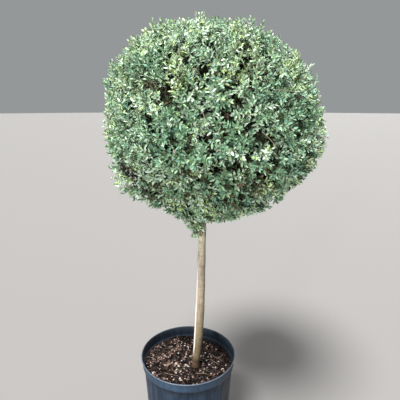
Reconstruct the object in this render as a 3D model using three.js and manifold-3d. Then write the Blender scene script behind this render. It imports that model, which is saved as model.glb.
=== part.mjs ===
// A standard lollipop topiary in its nursery pot: one clear stem under a clipped, round-topped crown.
// Millimetres, +Z up. The origin is the middle of the pot's flat underside, and the plant is seen
// from -Y in its front view, where its stem leans a little to the right, towards +X.
import * as THREE from "three";
import { mergeVertices } from "three/addons/utils/BufferGeometryUtils.js";
import Module from "manifold-3d";

const wasm = await Module();
wasm.setup();

const CLEAR = 0.3; // between pieces that touch

// Driving dimensions of the pot
const POT_HEIGHT = 400;
const POT_TOP_RADIUS = 215; // over the rolled lip
const POT_FOOT_RADIUS = 175;
const POT_WALL = 3;
const FOOT_CHAMFER = 2;
const RIM_BAND = { high: 46, step: 6, shoulder: 3 }; // its step stands out of the fluted wall
const LIP = { high: 6, thick: 5, proud: 3 }; // the rolled edge at the top of the band
const FLUTES = { count: 28, deep: 2.2, foot: 32, fade: 6, belowBand: 16 };
const DRAINS = { count: 14, wide: 20, deep: 22, high: 12 }; // notches at the foot

// The potting mix
const SOIL_LEVEL = 345; // at the stem's foot
const SOIL_DROP = 3; // how much lower the mix lies at the pot's wall
const SOIL_LUMP = { high: 5, apart: 70 };
const SOIL_FOOT_MARGIN = 4; // of flat mix round the stem
const SOIL_RINGS = 6;
const SOIL_SIDES = 30;

// The stem: places on its centreline from the ground to the leader's tip, and radii by height
const STEM_PLACES = [
  [33, -27, SOIL_LEVEL + CLEAR],
  [46, -26, 500],
  [53, -25, 640],
  [60, -24, 878],
  [65, -22, 1010],
  [72, -20, 1150],
  [86, -20, 1300],
  [102, -20, 1446],
];
const STEM_RADII = [
  [0, 18.4],
  [26, 16.8],
  [110, 18.2],
  [230, 20],
  [380, 18.4],
  [530, 16.2],
  [665, 13.4],
  [806, 11],
  [1107, 6],
];

// The crown: an egg-like form about its widest level, squarer above than below
const CROWN_MIDDLE = new THREE.Vector3(121, -20, 1367);
const CROWN_HALF_WIDTH = 430;
const CROWN_RISE = 424;
const CROWN_DROP = 338;
const SQUARENESS_ABOVE = 2.9;
const SQUARENESS_BELOW = 1.45;
const SHOULDER = { azimuth: 0, elevation: 45, swell: -0.17, spread: 38 }; // the clipped-back right side
const CLIPPING = { wave: 0.012, apart: 0.9 }; // unevenness left by the shears, as shares of the reach

// Each mass of foliage keeps the space nearest to its own heart: one on top, a ring round the stem.
const TOP_HEART = new THREE.Vector3(108, -20, 1606);
const SIDE_RING = { x: 78, y: -20, z: 1352, radius: 242 };
const SIDE_MASSES = [
  { name: "right", azimuth: 2, lift: -8, fork: 1088 },
  { name: "back_right", azimuth: 62, lift: 10, fork: 1126 },
  { name: "back_left", azimuth: 119, lift: -12, fork: 1096 },
  { name: "left", azimuth: 181, lift: 6, fork: 1132 },
  { name: "front_left", azimuth: 241, lift: -10, fork: 1084 },
  { name: "front_right", azimuth: 300, lift: 12, fork: 1118 },
];

// The open middle that the leaves don't grow in: its radius about the stem, by height
const OPEN_MIDDLE = [
  [1000, 26],
  [1070, 34],
  [1170, 96],
  [1330, 96],
  [1440, 34],
];

// Boughs, twigs and leaves
const BOUGH_FOOT_RADIUS = 8;
const BOUGH_TIP_RADIUS = 5.4;
const BOUGH_SAG = 26;
const BOUGH_MARGIN = 4; // of clear space round a bough
const TWIG_RADII = { foot: 5, tip: 3 };
const TWIG_BEND = 0.05; // of its length
const SPRAYS = 84; // over the whole crown, by the golden angle
const SPRAY_DEPTH = 46; // from the crown's outline to a twig's tip
const SPRAY_DEPTH_SPREAD = 12;
const STRAYS = [
  { azimuth: 180, elevation: 33, proud: 18 },
  { azimuth: 2, elevation: 32, proud: 20 },
  { azimuth: 320, elevation: 84, proud: 14 },
  { azimuth: 190, elevation: 62, proud: 16 },
]; // shoots that have grown out past the clipped outline
const HANGING_SHOOT = new THREE.Vector3(34, -64, 1006); // its tip, beside the stem
const LEAF = { long: 66, wide: 30, thick: 2.8, sunk: 1 };
const LEAF_SPREAD = 0.18; // random share of a leaf's size
const END_LEAF = { behindTip: 2, splay: 12 };
const LEAF_PAIRS = [
  { behindTip: 42, splay: 66 },
  { behindTip: 16, splay: 48 },
];
const SPLAY_SPREAD = 8;
const TURNS_TRIED = 4; // of a spray about its twig, to keep the most leaves

// The dense inner growth that the sprays stand out of
const CORE_DEPTH = 82; // below the crown's outline
const CORE_GAP = 4; // from the edge of the mass's own space
const CORE_LUMP = { deep: 0.035, apart: 96 };
const CORE_ROUNDING = 12; // higher gives sharper corners
const CORE_DETAIL = 3;

const GOLDEN_ANGLE = Math.PI * (3 - Math.sqrt(5));
const SEED = 27;

const random = THREE.MathUtils.seededRandom;
const jitter = (size) => (random() * 2 - 1) * size;
const toRadians = THREE.MathUtils.degToRad;

// Solids

function solidOf(geometry) {
  const bare = geometry.clone();
  bare.deleteAttribute("normal");
  bare.deleteAttribute("uv");
  const merged = mergeVertices(bare, 1e-3);
  const vertProperties = new Float32Array(merged.attributes.position.array);
  const triVerts = new Uint32Array(merged.index.array);
  return new wasm.Manifold(new wasm.Mesh({ numProp: 3, vertProperties, triVerts }));
}

function geometryOf(solid) {
  const { vertProperties, triVerts } = solid.getMesh();
  const geometry = new THREE.BufferGeometry();
  geometry.setAttribute("position", new THREE.BufferAttribute(vertProperties, 3));
  geometry.setIndex(new THREE.BufferAttribute(triVerts, 1));
  return geometry;
}

// The one whole body of a fused solid: loose scraps are dropped and sealed hollows are filled.
function wholeBody(solid) {
  const bodies = solid.decompose();
  return bodies.reduce((most, body) => (body.volume() > most.volume() ? body : most));
}

// A straight-line reading of a table of [at, value] pairs.
function readTable(table, at) {
  const next = table.findIndex(([place]) => place >= at);
  if (next < 0) return table[table.length - 1][1];
  if (next === 0) return table[0][1];
  const [[a, valueA], [b, valueB]] = [table[next - 1], table[next]];
  return THREE.MathUtils.mapLinear(at, a, b, valueA, valueB);
}

// The last place between 0 and 1 before a rising value passes zero, by halving.
function lastUnder(value) {
  let [low, high] = [0, 1];
  for (let i = 0; i < 30; i++) {
    const middle = (low + high) / 2;
    if (value(middle) < 0) low = middle;
    else high = middle;
  }
  return low;
}

// A slow, smooth unevenness between -1 and 1 at a place.
function unevenness(place, wavelength) {
  const k = (2 * Math.PI) / wavelength;
  const across = Math.sin(k * place.x + 1.3) * Math.cos(k * place.y * 1.17 + 0.4);
  return (across + Math.sin(k * 0.83 * (place.z + place.x * 0.4) + 2.1)) / 2;
}

// Limbs

// A round tapering limb along part of a curve. Level rings keep its cut ends flat on the ground.
function limb({ curve, from = 0, to = 1, radiusAt, sides, steps, level = false }) {
  const geometry = new THREE.CylinderGeometry(1, 1, 1, sides, steps);
  const position = geometry.attributes.position;
  const frames = ringFrames(curve, from, to, steps, level);
  for (let i = 0; i < position.count; i++) {
    const ring = Math.round((position.getY(i) + 0.5) * steps);
    const radius = radiusAt(ring / steps);
    const place = frames[ring].middle
      .clone()
      .addScaledVector(frames[ring].across, position.getX(i) * radius)
      .addScaledVector(frames[ring].aside, position.getZ(i) * radius);
    position.setXYZ(i, place.x, place.y, place.z);
  }
  return geometry;
}

function ringFrames(curve, from, to, steps, level) {
  const across = new THREE.Vector3(1, 0, 0);
  return Array.from({ length: steps + 1 }, (_, ring) => {
    const t = THREE.MathUtils.lerp(from, to, ring / steps);
    const along = level ? new THREE.Vector3(0, 0, 1) : curve.getTangent(t);
    if (Math.abs(across.dot(along)) > 0.9) across.set(0, 1, 0);
    across.addScaledVector(along, -across.dot(along)).normalize();
    const aside = across.clone().cross(along);
    return { middle: curve.getPoint(t), across: across.clone(), aside };
  });
}

const taper = (foot, tip) => (t) => THREE.MathUtils.lerp(foot, tip, t);

// The stem stands on the potting mix and runs up through the crown as its leader.
const stemCurve = new THREE.CatmullRomCurve3(
  STEM_PLACES.map((place) => new THREE.Vector3(...place)),
  false,
  "centripetal",
);

const stemParameterAt = (height) => lastUnder((t) => stemCurve.getPoint(t).z - height);

function stem(growth = 0) {
  const foot = stemCurve.getPoint(0).z;
  return limb({
    curve: stemCurve,
    radiusAt: (t) => readTable(STEM_RADII, stemCurve.getPoint(t).z - foot) + growth,
    sides: 12,
    steps: 20,
    level: true,
  });
}

// The crown's form

function towards(azimuth, elevation) {
  const [a, e] = [toRadians(azimuth), toRadians(elevation)];
  return new THREE.Vector3(Math.cos(e) * Math.cos(a), Math.cos(e) * Math.sin(a), Math.sin(e));
}

// How far the clipped outline lies from the crown's middle in a direction.
function crownReach(direction) {
  const above = direction.z >= 0;
  const power = above ? SQUARENESS_ABOVE : SQUARENESS_BELOW;
  const level = Math.hypot(direction.x, direction.y) / CROWN_HALF_WIDTH;
  const upright = Math.abs(direction.z) / (above ? CROWN_RISE : CROWN_DROP);
  const egg = (level ** power + upright ** power) ** (-1 / power);
  const offShoulder = direction.angleTo(towards(SHOULDER.azimuth, SHOULDER.elevation));
  const shoulder = SHOULDER.swell * Math.exp(-((offShoulder / toRadians(SHOULDER.spread)) ** 2));
  const wave = CLIPPING.wave * unevenness(direction, CLIPPING.apart);
  return egg * (1 + shoulder + wave);
}

// How deep a place lies under the clipped outline, measured towards the crown's middle.
function depthInCrown(place) {
  const offset = place.clone().sub(CROWN_MIDDLE);
  const distance = offset.length();
  return crownReach(offset.divideScalar(distance)) - distance;
}

// The masses and their spaces

const sideMasses = SIDE_MASSES.map(({ name, azimuth, lift, fork }) => {
  const heart = towards(azimuth, 0).multiplyScalar(SIDE_RING.radius);
  heart.add(new THREE.Vector3(SIDE_RING.x, SIDE_RING.y, SIDE_RING.z + lift));
  return { name, heart, limbCurve: boughCurve(fork, heart) };
});
const topMass = {
  name: "top",
  heart: TOP_HEART,
  limbCurve: new THREE.LineCurve3(stemCurve.getPoint(1), TOP_HEART),
  edge: 0,
};
const masses = [topMass, ...sideMasses];

// A bough leaves the stem at its fork and rises to its mass's heart. The part past the open middle
// belongs to the mass, as the foot that its twigs grow from.
function boughCurve(fork, heart) {
  const foot = stemCurve.getPoint(stemParameterAt(fork));
  const bend = foot.clone().lerp(heart, 0.5);
  bend.z -= BOUGH_SAG;
  return new THREE.QuadraticBezierCurve3(foot, bend, heart);
}

const nearestMass = (place) =>
  masses.reduce((a, b) => (place.distanceTo(a.heart) <= place.distanceTo(b.heart) ? a : b));

// The distance from a place to the nearest face that parts this mass from another.
function roomToNeighbours(place, mass) {
  const toFace = ({ heart }) =>
    (place.distanceToSquared(heart) - place.distanceToSquared(mass.heart)) /
    (2 * heart.distanceTo(mass.heart));
  return Math.min(...masses.filter((other) => other !== mass).map(toFace));
}

// The distance from a place to the open middle round the stem.
const stemPlaces = stemCurve.getPoints(120);

function roomToMiddle(place) {
  const distance = Math.min(...stemPlaces.map((other) => place.distanceTo(other)));
  return distance - readTable(OPEN_MIDDLE, place.z);
}

for (const mass of sideMasses) {
  mass.edge = lastUnder((t) => roomToMiddle(mass.limbCurve.getPoint(t)));
}

// The distance from a place to the nearest bough.
const boughPlaces = sideMasses.flatMap(({ limbCurve, edge }) =>
  [0, 0.2, 0.4, 0.6, 0.8, 1].map((share) => limbCurve.getPoint(share * edge)),
);

function roomToBoughs(place) {
  const distance = Math.min(...boughPlaces.map((other) => place.distanceTo(other)));
  return distance - BOUGH_FOOT_RADIUS - BOUGH_MARGIN;
}

const roomAt = (place, mass) =>
  Math.min(roomToNeighbours(place, mass), roomToMiddle(place), roomToBoughs(place));

function bough(mass) {
  const whole = limb({
    curve: mass.limbCurve,
    to: mass.edge,
    radiusAt: taper(BOUGH_FOOT_RADIUS, BOUGH_TIP_RADIUS),
    sides: 8,
    steps: 4,
  });
  return wholeBody(solidOf(whole).subtract(solidOf(stem(CLEAR))));
}

// Foliage

function massFoot(mass) {
  const gap = CLEAR / mass.limbCurve.getLength();
  return limb({
    curve: mass.limbCurve,
    from: mass.edge + gap,
    radiusAt: taper(BOUGH_TIP_RADIUS, TWIG_RADII.foot),
    sides: 6,
    steps: 1,
    level: mass === topMass,
  });
}

// The distance that a ray from a mass's heart runs inside the core: a rounded-off least of the ways
// to the crown's outline, to the faces of the mass's own space and to the open middle.
function coreReach(mass, direction) {
  const walls = [
    (place) => depthInCrown(place) - CORE_DEPTH,
    (place) => roomToNeighbours(place, mass) - CORE_GAP,
    (place) => Math.min(roomToMiddle(place), roomToBoughs(place)) - CORE_GAP,
  ];
  const ways = walls.map((room) => wayTo(room, mass.heart, direction));
  const closeness = ways.reduce((sum, way) => sum + way ** -CORE_ROUNDING, 0);
  return closeness ** (-1 / CORE_ROUNDING);
}

// The first place along a ray where the room runs out, stepping by what room there is.
function wayTo(room, start, direction) {
  let way = 0;
  for (let i = 0; i < 60 && way < 2 * CROWN_HALF_WIDTH; i++) {
    const left = room(start.clone().addScaledVector(direction, way));
    if (left < 0.2) break;
    way += left * 0.7;
  }
  return Math.max(way, 1);
}

function core(mass) {
  const geometry = new THREE.IcosahedronGeometry(1, CORE_DETAIL);
  const position = geometry.attributes.position;
  for (let i = 0; i < position.count; i++) {
    const direction = new THREE.Vector3().fromBufferAttribute(position, i).normalize();
    const place = direction.clone().multiplyScalar(coreReach(mass, direction)).add(mass.heart);
    const lump = 1 - CORE_LUMP.deep * (1 + unevenness(place, CORE_LUMP.apart));
    place.sub(mass.heart).multiplyScalar(lump).add(mass.heart);
    position.setXYZ(i, place.x, place.y, place.z);
  }
  return geometry;
}

// A leaf as a thin eight-faced blade, pointing along `along`, flat side towards `facing`.
function leaf(root, along, facing, size) {
  const geometry = new THREE.OctahedronGeometry(0.5);
  geometry.scale(LEAF.wide * size, LEAF.long * size, LEAF.thick);
  geometry.translate(0, (LEAF.long * size) / 2 - LEAF.sunk, 0);
  const side = along.clone().cross(facing).normalize();
  const basis = new THREE.Matrix4().makeBasis(side, along, side.clone().cross(along));
  return geometry.applyMatrix4(basis.setPosition(root));
}

function keepsToSpace(geometry, mass) {
  const position = geometry.attributes.position;
  for (let i = 0; i < position.count; i++) {
    const place = new THREE.Vector3().fromBufferAttribute(position, i);
    if (roomAt(place, mass) < CLEAR) return false;
  }
  return true;
}

// A leaf that leaves the twig at a splay from its axis, on the side of a turn about it.
function leafOn(curve, behindTip, splay, turn) {
  const t = 1 - behindTip / curve.getLength();
  const axis = curve.getTangent(t);
  const across = new THREE.Vector3(0, 0, 1).cross(axis).normalize().applyAxisAngle(axis, turn);
  const lean = toRadians(splay);
  const along = across.clone().multiplyScalar(Math.sin(lean)).addScaledVector(axis, Math.cos(lean));
  const facing = axis.clone().multiplyScalar(Math.sin(lean)).addScaledVector(across, -Math.cos(lean));
  return leaf(curve.getPoint(t), along.normalize(), facing.normalize(), 1 + jitter(LEAF_SPREAD));
}

// Pairs of leaves set crosswise and one at the tip, as far as they keep to the mass's space.
function leavesOn(curve, mass, turn) {
  const blades = [leafOn(curve, END_LEAF.behindTip, END_LEAF.splay, turn)];
  LEAF_PAIRS.forEach(({ behindTip, splay }, pair) => {
    for (const side of [0, Math.PI]) {
      const aside = turn + side + (pair * Math.PI) / 2;
      blades.push(leafOn(curve, behindTip, splay + jitter(SPLAY_SPREAD), aside));
    }
  });
  return blades.filter((blade) => keepsToSpace(blade, mass));
}

// One leafy twig from the mass's heart to a tip under the crown's outline.
function spray(mass, tip) {
  const length = tip.distanceTo(mass.heart);
  const bend = mass.heart.clone().lerp(tip, 0.5);
  bend.add(new THREE.Vector3(jitter(1), jitter(1), jitter(1)).multiplyScalar(TWIG_BEND * length));
  const curve = new THREE.QuadraticBezierCurve3(mass.heart, bend, tip);
  const radiusAt = taper(TWIG_RADII.foot, TWIG_RADII.tip);
  const twig = limb({ curve, radiusAt, sides: 3, steps: 2 });
  if (!keepsToSpace(twig, mass)) return [];
  const turns = Array.from({ length: TURNS_TRIED }, (_, k) => (k * Math.PI) / 2 / TURNS_TRIED);
  const choices = turns.map((turn) => leavesOn(curve, mass, turn));
  const blades = choices.reduce((most, choice) => (choice.length > most.length ? choice : most));
  return [twig, ...blades];
}

// Tips spread evenly over the whole crown by the golden angle, then the shoots past the outline.
function sprayTips() {
  const clipped = Array.from({ length: SPRAYS }, (_, k) => {
    const rise = 1 - (2 * (k + 0.5)) / SPRAYS;
    const level = Math.sqrt(1 - rise * rise);
    const azimuth = k * GOLDEN_ANGLE;
    const direction = new THREE.Vector3(level * Math.cos(azimuth), level * Math.sin(azimuth), rise);
    return tipUnder(direction, SPRAY_DEPTH + jitter(SPRAY_DEPTH_SPREAD));
  });
  const strays = STRAYS.map(({ azimuth, elevation, proud }) =>
    tipUnder(towards(azimuth, elevation), SPRAY_DEPTH - proud),
  );
  return [...clipped, ...strays, HANGING_SHOOT];
}

const tipUnder = (direction, depth) =>
  direction.clone().multiplyScalar(crownReach(direction) - depth).add(CROWN_MIDDLE);

function foliage(mass, tips) {
  const own = tips.filter((tip) => nearestMass(tip) === mass);
  const pieces = [core(mass), massFoot(mass), ...own.flatMap((tip) => spray(mass, tip))];
  return wholeBody(wasm.Manifold.union(pieces.map(solidOf)));
}

// The pot

// The wall's outer radius at a height, under the band.
function wallRadius(height) {
  const top = POT_TOP_RADIUS - RIM_BAND.step - LIP.proud;
  return THREE.MathUtils.lerp(POT_FOOT_RADIUS, top, height / POT_HEIGHT);
}

function potProfile() {
  const bandFoot = POT_HEIGHT - RIM_BAND.high;
  const fluteHead = bandFoot - FLUTES.belowBand;
  const fluteFoot = FLUTES.foot;
  const lipFoot = POT_HEIGHT - LIP.high;
  const inner = (height) => wallRadius(height) - POT_WALL;
  return [
    [0, 0],
    [wallRadius(0) - FOOT_CHAMFER, 0],
    [wallRadius(fluteFoot - FLUTES.fade), fluteFoot - FLUTES.fade],
    [wallRadius(fluteFoot), fluteFoot],
    [wallRadius(fluteHead), fluteHead],
    [wallRadius(bandFoot), bandFoot],
    [wallRadius(bandFoot) + RIM_BAND.step, bandFoot + RIM_BAND.shoulder],
    [POT_TOP_RADIUS - LIP.proud, lipFoot],
    [POT_TOP_RADIUS, lipFoot + 1],
    [POT_TOP_RADIUS, POT_HEIGHT],
    [POT_TOP_RADIUS - LIP.thick, POT_HEIGHT],
    [inner(bandFoot) + RIM_BAND.step, bandFoot + RIM_BAND.shoulder],
    [inner(bandFoot), bandFoot - 1],
    [inner(fluteHead), fluteHead],
    [inner(fluteFoot), fluteFoot],
    [inner(POT_WALL), POT_WALL],
    [0, POT_WALL],
  ].map(([radius, height]) => new THREE.Vector2(radius, height));
}

// Every other seam of the wall is drawn in between the foot and the band, which makes the flutes.
function flute(geometry) {
  const position = geometry.attributes.position;
  const [from, to] = [FLUTES.foot - 1, POT_HEIGHT - RIM_BAND.high - FLUTES.belowBand + 1];
  for (let i = 0; i < position.count; i++) {
    const [x, y, z] = [position.getX(i), position.getY(i), position.getZ(i)];
    const seam = Math.round((Math.atan2(y, x) * FLUTES.count) / Math.PI);
    if (z < from || z > to || seam % 2 === 0) continue;
    const shrink = 1 - FLUTES.deep / Math.hypot(x, y);
    position.setXYZ(i, x * shrink, y * shrink, z);
  }
  return geometry;
}

function pot() {
  const shell = new THREE.LatheGeometry(potProfile(), FLUTES.count * 2).rotateX(Math.PI / 2);
  let solid = solidOf(flute(shell));
  for (let k = 0; k < DRAINS.count; k++) {
    const drain = new THREE.BoxGeometry(DRAINS.deep, DRAINS.wide, DRAINS.high * 2);
    drain.translate(POT_FOOT_RADIUS, 0, 0).rotateZ(((k + 0.5) * 2 * Math.PI) / DRAINS.count);
    solid = solid.subtract(solidOf(drain));
  }
  return solid;
}

// The potting mix fills the pot to just under the band, clear of the drains. Its lumpy top fans out
// from a small flat round under the stem to the wall.
function soil() {
  const bottom = POT_WALL + CLEAR;
  const overDrains = DRAINS.high + CLEAR;
  const edgeLevel = SOIL_LEVEL - SOIL_DROP;
  const radiusAt = (height) => wallRadius(height) - POT_WALL - FLUTES.deep - CLEAR;
  const footRound = STEM_RADII[0][1] + SOIL_FOOT_MARGIN;
  const topRadius = radiusAt(edgeLevel - SOIL_LUMP.high);
  const profile = [
    [0, bottom],
    [POT_FOOT_RADIUS - DRAINS.deep / 2 - CLEAR, bottom],
    [POT_FOOT_RADIUS - DRAINS.deep / 2 - CLEAR, overDrains],
    [radiusAt(overDrains), overDrains],
    [topRadius, edgeLevel - SOIL_LUMP.high],
  ];
  for (let ring = SOIL_RINGS - 1; ring >= 0; ring--) {
    const share = ring / SOIL_RINGS;
    const level = THREE.MathUtils.lerp(SOIL_LEVEL, edgeLevel, share);
    profile.push([THREE.MathUtils.lerp(footRound, topRadius, share), level]);
  }
  profile.push([0, SOIL_LEVEL]);
  const points = profile.map(([radius, height]) => new THREE.Vector2(radius, height));
  const geometry = new THREE.LatheGeometry(points, SOIL_SIDES).rotateX(Math.PI / 2);
  return settle(geometry, footRound, topRadius);
}

// Slides the top's rings so that they centre on the stem, and lets the lumps sink in.
function settle(geometry, footRound, topRadius) {
  const position = geometry.attributes.position;
  const foot = stemCurve.getPoint(0);
  for (let i = 0; i < position.count; i++) {
    const place = new THREE.Vector3().fromBufferAttribute(position, i);
    if (place.z < SOIL_LEVEL - SOIL_DROP) continue;
    const radius = Math.hypot(place.x, place.y);
    const inward = 1 - THREE.MathUtils.smootherstep(radius, footRound, topRadius);
    place.x += foot.x * inward;
    place.y += foot.y * inward;
    const sunk = (1 - unevenness(place, SOIL_LUMP.apart)) / 2;
    if (radius > footRound + 1) place.z -= SOIL_LUMP.high * sunk;
    position.setXYZ(i, place.x, place.y, place.z);
  }
  return geometry;
}

// Finishes, read off the plant in daylight

const finish = (color, roughness) => new THREE.MeshStandardMaterial({ color, roughness, metalness: 0 });
const potFinish = finish("#2b3440", 0.55);
const soilFinish = finish("#4a3a30", 0.95);
const barkFinish = finish("#a8957a", 0.85);
const boughFinish = finish("#7d6a55", 0.85);
const leafFinish = finish("#7f9b80", 0.6);

function piece(name, shape, material) {
  const geometry = shape.isBufferGeometry ? shape : geometryOf(shape);
  const mesh = new THREE.Mesh(geometry, material);
  mesh.name = name;
  return mesh;
}

random(SEED);
const tips = sprayTips();
const topiary = new THREE.Group();
topiary.add(piece("pot", pot(), potFinish));
topiary.add(piece("potting_mix", soil(), soilFinish));
topiary.add(piece("stem", stem(), barkFinish));
for (const mass of sideMasses) topiary.add(piece(`bough_${mass.name}`, bough(mass), boughFinish));
for (const mass of masses) topiary.add(piece(`foliage_${mass.name}`, foliage(mass, tips), leafFinish));

export default topiary;
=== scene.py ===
import math

import bpy
import numpy as np
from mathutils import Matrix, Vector


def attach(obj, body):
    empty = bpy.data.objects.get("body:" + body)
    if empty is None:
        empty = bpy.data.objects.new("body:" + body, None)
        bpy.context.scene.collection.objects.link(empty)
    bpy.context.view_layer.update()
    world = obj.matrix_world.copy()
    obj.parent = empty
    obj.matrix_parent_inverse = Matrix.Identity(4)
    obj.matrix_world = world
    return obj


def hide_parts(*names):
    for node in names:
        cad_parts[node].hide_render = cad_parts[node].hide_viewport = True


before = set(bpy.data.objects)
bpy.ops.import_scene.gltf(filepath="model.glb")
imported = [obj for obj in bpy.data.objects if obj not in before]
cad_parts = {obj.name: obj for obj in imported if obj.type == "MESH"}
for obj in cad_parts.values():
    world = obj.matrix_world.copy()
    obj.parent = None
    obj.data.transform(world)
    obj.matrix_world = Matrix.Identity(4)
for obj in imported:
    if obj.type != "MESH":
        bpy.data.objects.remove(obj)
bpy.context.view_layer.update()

# A standard lollipop topiary in its nursery pot. Sizes and places are in millimetres in the packed
# model's frame, +Z up, seen from -Y, and a mesh is turned to metres where it is made.
mm = 0.001
tau = 2 * math.pi
goldenAngle = math.pi * (3 - math.sqrt(5))
up = np.array([0.0, 0.0, 1.0])


# Small tools

def unit(vectors):
    return vectors / np.linalg.norm(vectors, axis=-1, keepdims=True)


def smoothStep(value, low, high):  # from 0 at low to 1 at high
    share = np.clip((value - low) / (high - low), 0, 1)
    return share * share * (3 - 2 * share)


def readTable(table, at):
    return np.interp(at, [row[0] for row in table], [row[1] for row in table])


def towards(azimuth, elevation):
    a, e = math.radians(azimuth), math.radians(elevation)
    return np.array([math.cos(e) * math.cos(a), math.cos(e) * math.sin(a), math.sin(e)])


# Directions spread evenly over a sphere, each a golden angle on from the last.
def goldenDirections(count):
    k = np.arange(count)
    rise = 1 - 2 * (k + 0.5) / count
    level = np.sqrt(1 - rise**2)
    return np.stack([level * np.cos(k * goldenAngle), level * np.sin(k * goldenAngle), rise], axis=1)


def roundAngles(count):
    return np.arange(count) * tau / count


# A smooth random field of about -1 to 1, from waves of one length in fixed random directions.
def field(places, apart, seed, count=7, usual=2.6):
    draw = np.random.default_rng(seed)
    ways = unit(draw.normal(size=(count, 3)))
    phases = draw.uniform(0, tau, count)
    return np.sin(places @ ways.T * tau / apart + phases).sum(axis=-1) / usual


# Each curve is a start, a bend that it is drawn towards, and an end.
def curvePoint(curves, t):
    start, bend, end = curves
    t = t[..., None]
    return start * (1 - t) ** 2 + 2 * bend * t * (1 - t) + end * t**2


def curveWay(curves, t):
    start, bend, end = curves
    t = t[..., None]
    return unit((bend - start) * (1 - t) + (end - bend) * t)


def alongEach(read, curves, shares):  # every curve read at the same shares of it
    return read([part[:, None] for part in curves], np.broadcast_to(shares, (len(curves[0]), len(shares))))


def curveLength(curves):
    line = alongEach(curvePoint, curves, np.linspace(0, 1, 9))
    return np.linalg.norm(np.diff(line, axis=1), axis=2).sum(axis=1)


# Directions square to the ways, turned round them from a steady side.
def squareTo(ways, steady, turn):
    aside = unit(np.cross(ways, steady))
    over = np.cross(ways, aside)
    return np.cos(turn)[..., None] * aside + np.sin(turn)[..., None] * over


def newPiece(name, points, faces=(), edges=()):
    mesh = bpy.data.meshes.new(name)
    mesh.from_pydata((np.asarray(points) * mm).tolist(), list(edges), [tuple(f) for f in faces])
    made = bpy.data.objects.new(name, mesh)
    bpy.context.scene.collection.objects.link(made)
    return made


# Quads of a grid that runs round anticlockwise in its columns and up in its rows, faces outwards.
def roundGrid(rows, columns, first=0):
    row, column = np.meshgrid(np.arange(rows - 1), np.arange(columns), indexing="ij")
    onward = (column + 1) % columns
    corners = [row * columns + column, row * columns + onward,
               (row + 1) * columns + onward, (row + 1) * columns + column]
    return (first + np.stack(corners, axis=-1).reshape(-1, 4)).tolist()


# The same grid closed at both ends by flat caps.
def cappedGrid(rows, columns, first=0):
    last = first + (rows - 1) * columns
    caps = [range(first + columns - 1, first - 1, -1), range(last, last + columns)]
    return roundGrid(rows, columns, first) + caps


def setSmooth(piece, angle=None):
    piece.data.polygons.foreach_set("use_smooth", [True] * len(piece.data.polygons))
    if angle is not None:
        piece.data.set_sharp_from_angle(angle=math.radians(angle))


def dress(piece, slot, nodes, surface=None):
    if surface is not None:
        piece.data.materials.clear()
        piece.data.materials.append(surface)
    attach(piece, "root")
    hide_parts(*nodes)
    return piece


# Materials. A pattern's scale counts its grains per metre, so that 330 gives grains of 3 mm.

def linear(hexColour):
    channels = [int(hexColour[i:i + 2], 16) / 255 for i in (1, 3, 5)]
    return [c / 12.92 if c <= 0.04045 else ((c + 0.055) / 1.055) ** 2.4 for c in channels] + [1.0]


# Adds a node. Plain values fill its sockets. Another node's socket is linked, or its first live output
# where the node itself is given. The stops of a colour ramp are places and sRGB colours.
def addNode(tree, kind, inputs=None, stops=(), **settings):
    node = tree.nodes.new(kind)
    for name, value in settings.items():
        setattr(node, name, value)
    for socket, value in (inputs or {}).items():
        if isinstance(value, bpy.types.Node):
            value = next(output for output in value.outputs if output.enabled)
        if isinstance(value, bpy.types.NodeSocket):
            tree.links.new(value, node.inputs[socket])
        else:
            node.inputs[socket].default_value = value
    if stops:
        elements = node.color_ramp.elements
        while len(elements) < len(stops):
            elements.new(1)
        for element, (place, colour) in zip(elements, stops):
            element.position = place
            element.color = linear(colour)
    return node


def newMaterial(name, build):
    made = bpy.data.materials.new(name)
    made.use_nodes = True
    tree = made.node_tree
    tree.nodes.clear()
    addNode(tree, "ShaderNodeOutputMaterial", {"Surface": build(tree)})
    return made


# A finish without a pattern, for what is too small or too plain to show one.
def plainSurface(colour, roughness, ior):
    def build(tree):
        return addNode(tree, "ShaderNodeBsdfPrincipled", {
            "Base Color": linear(colour), "Roughness": roughness, "IOR": ior})
    return build


colourA, colourB = 6, 7  # a Mix node's sockets for colours
blended = {"data_type": "RGBA"}
multiplied = {"data_type": "RGBA", "blend_type": "MULTIPLY"}


# Geometry Nodes

def newTree(name, inputs):
    tree = bpy.data.node_groups.new(name, "GeometryNodeTree")
    sockets = {"Geometry": ("NodeSocketGeometry", None), **inputs, "Material": ("NodeSocketMaterial", None)}
    for label, (kind, value) in sockets.items():
        socket = tree.interface.new_socket(label, in_out="INPUT", socket_type=kind)
        if value is not None:
            socket.default_value = value
    tree.interface.new_socket("Geometry", in_out="OUTPUT", socket_type="NodeSocketGeometry")
    return tree, tree.nodes.new("NodeGroupInput").outputs


def endTree(tree, given, geometry):
    real = addNode(tree, "GeometryNodeRealizeInstances", {"Geometry": geometry})
    done = addNode(tree, "GeometryNodeSetMaterial", {"Geometry": real, "Material": given["Material"]})
    addNode(tree, "NodeGroupOutput", {"Geometry": done})
    return tree


# The tree's result as a plain mesh in place of the object that it ran on.
def runTree(tree, source, values):
    modifier = source.modifiers.new(tree.name, "NODES")
    modifier.node_group = tree
    for item in tree.interface.items_tree:
        if item.in_out == "INPUT" and item.name in values:
            modifier[item.identifier] = values[item.name]
    layer = bpy.context.evaluated_depsgraph_get()
    mesh = bpy.data.meshes.new_from_object(source.evaluated_get(layer), depsgraph=layer)
    source.modifiers.remove(modifier)
    name = source.name
    bpy.data.objects.remove(source)
    made = bpy.data.objects.new(name, mesh)
    bpy.context.scene.collection.objects.link(made)
    return made


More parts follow.
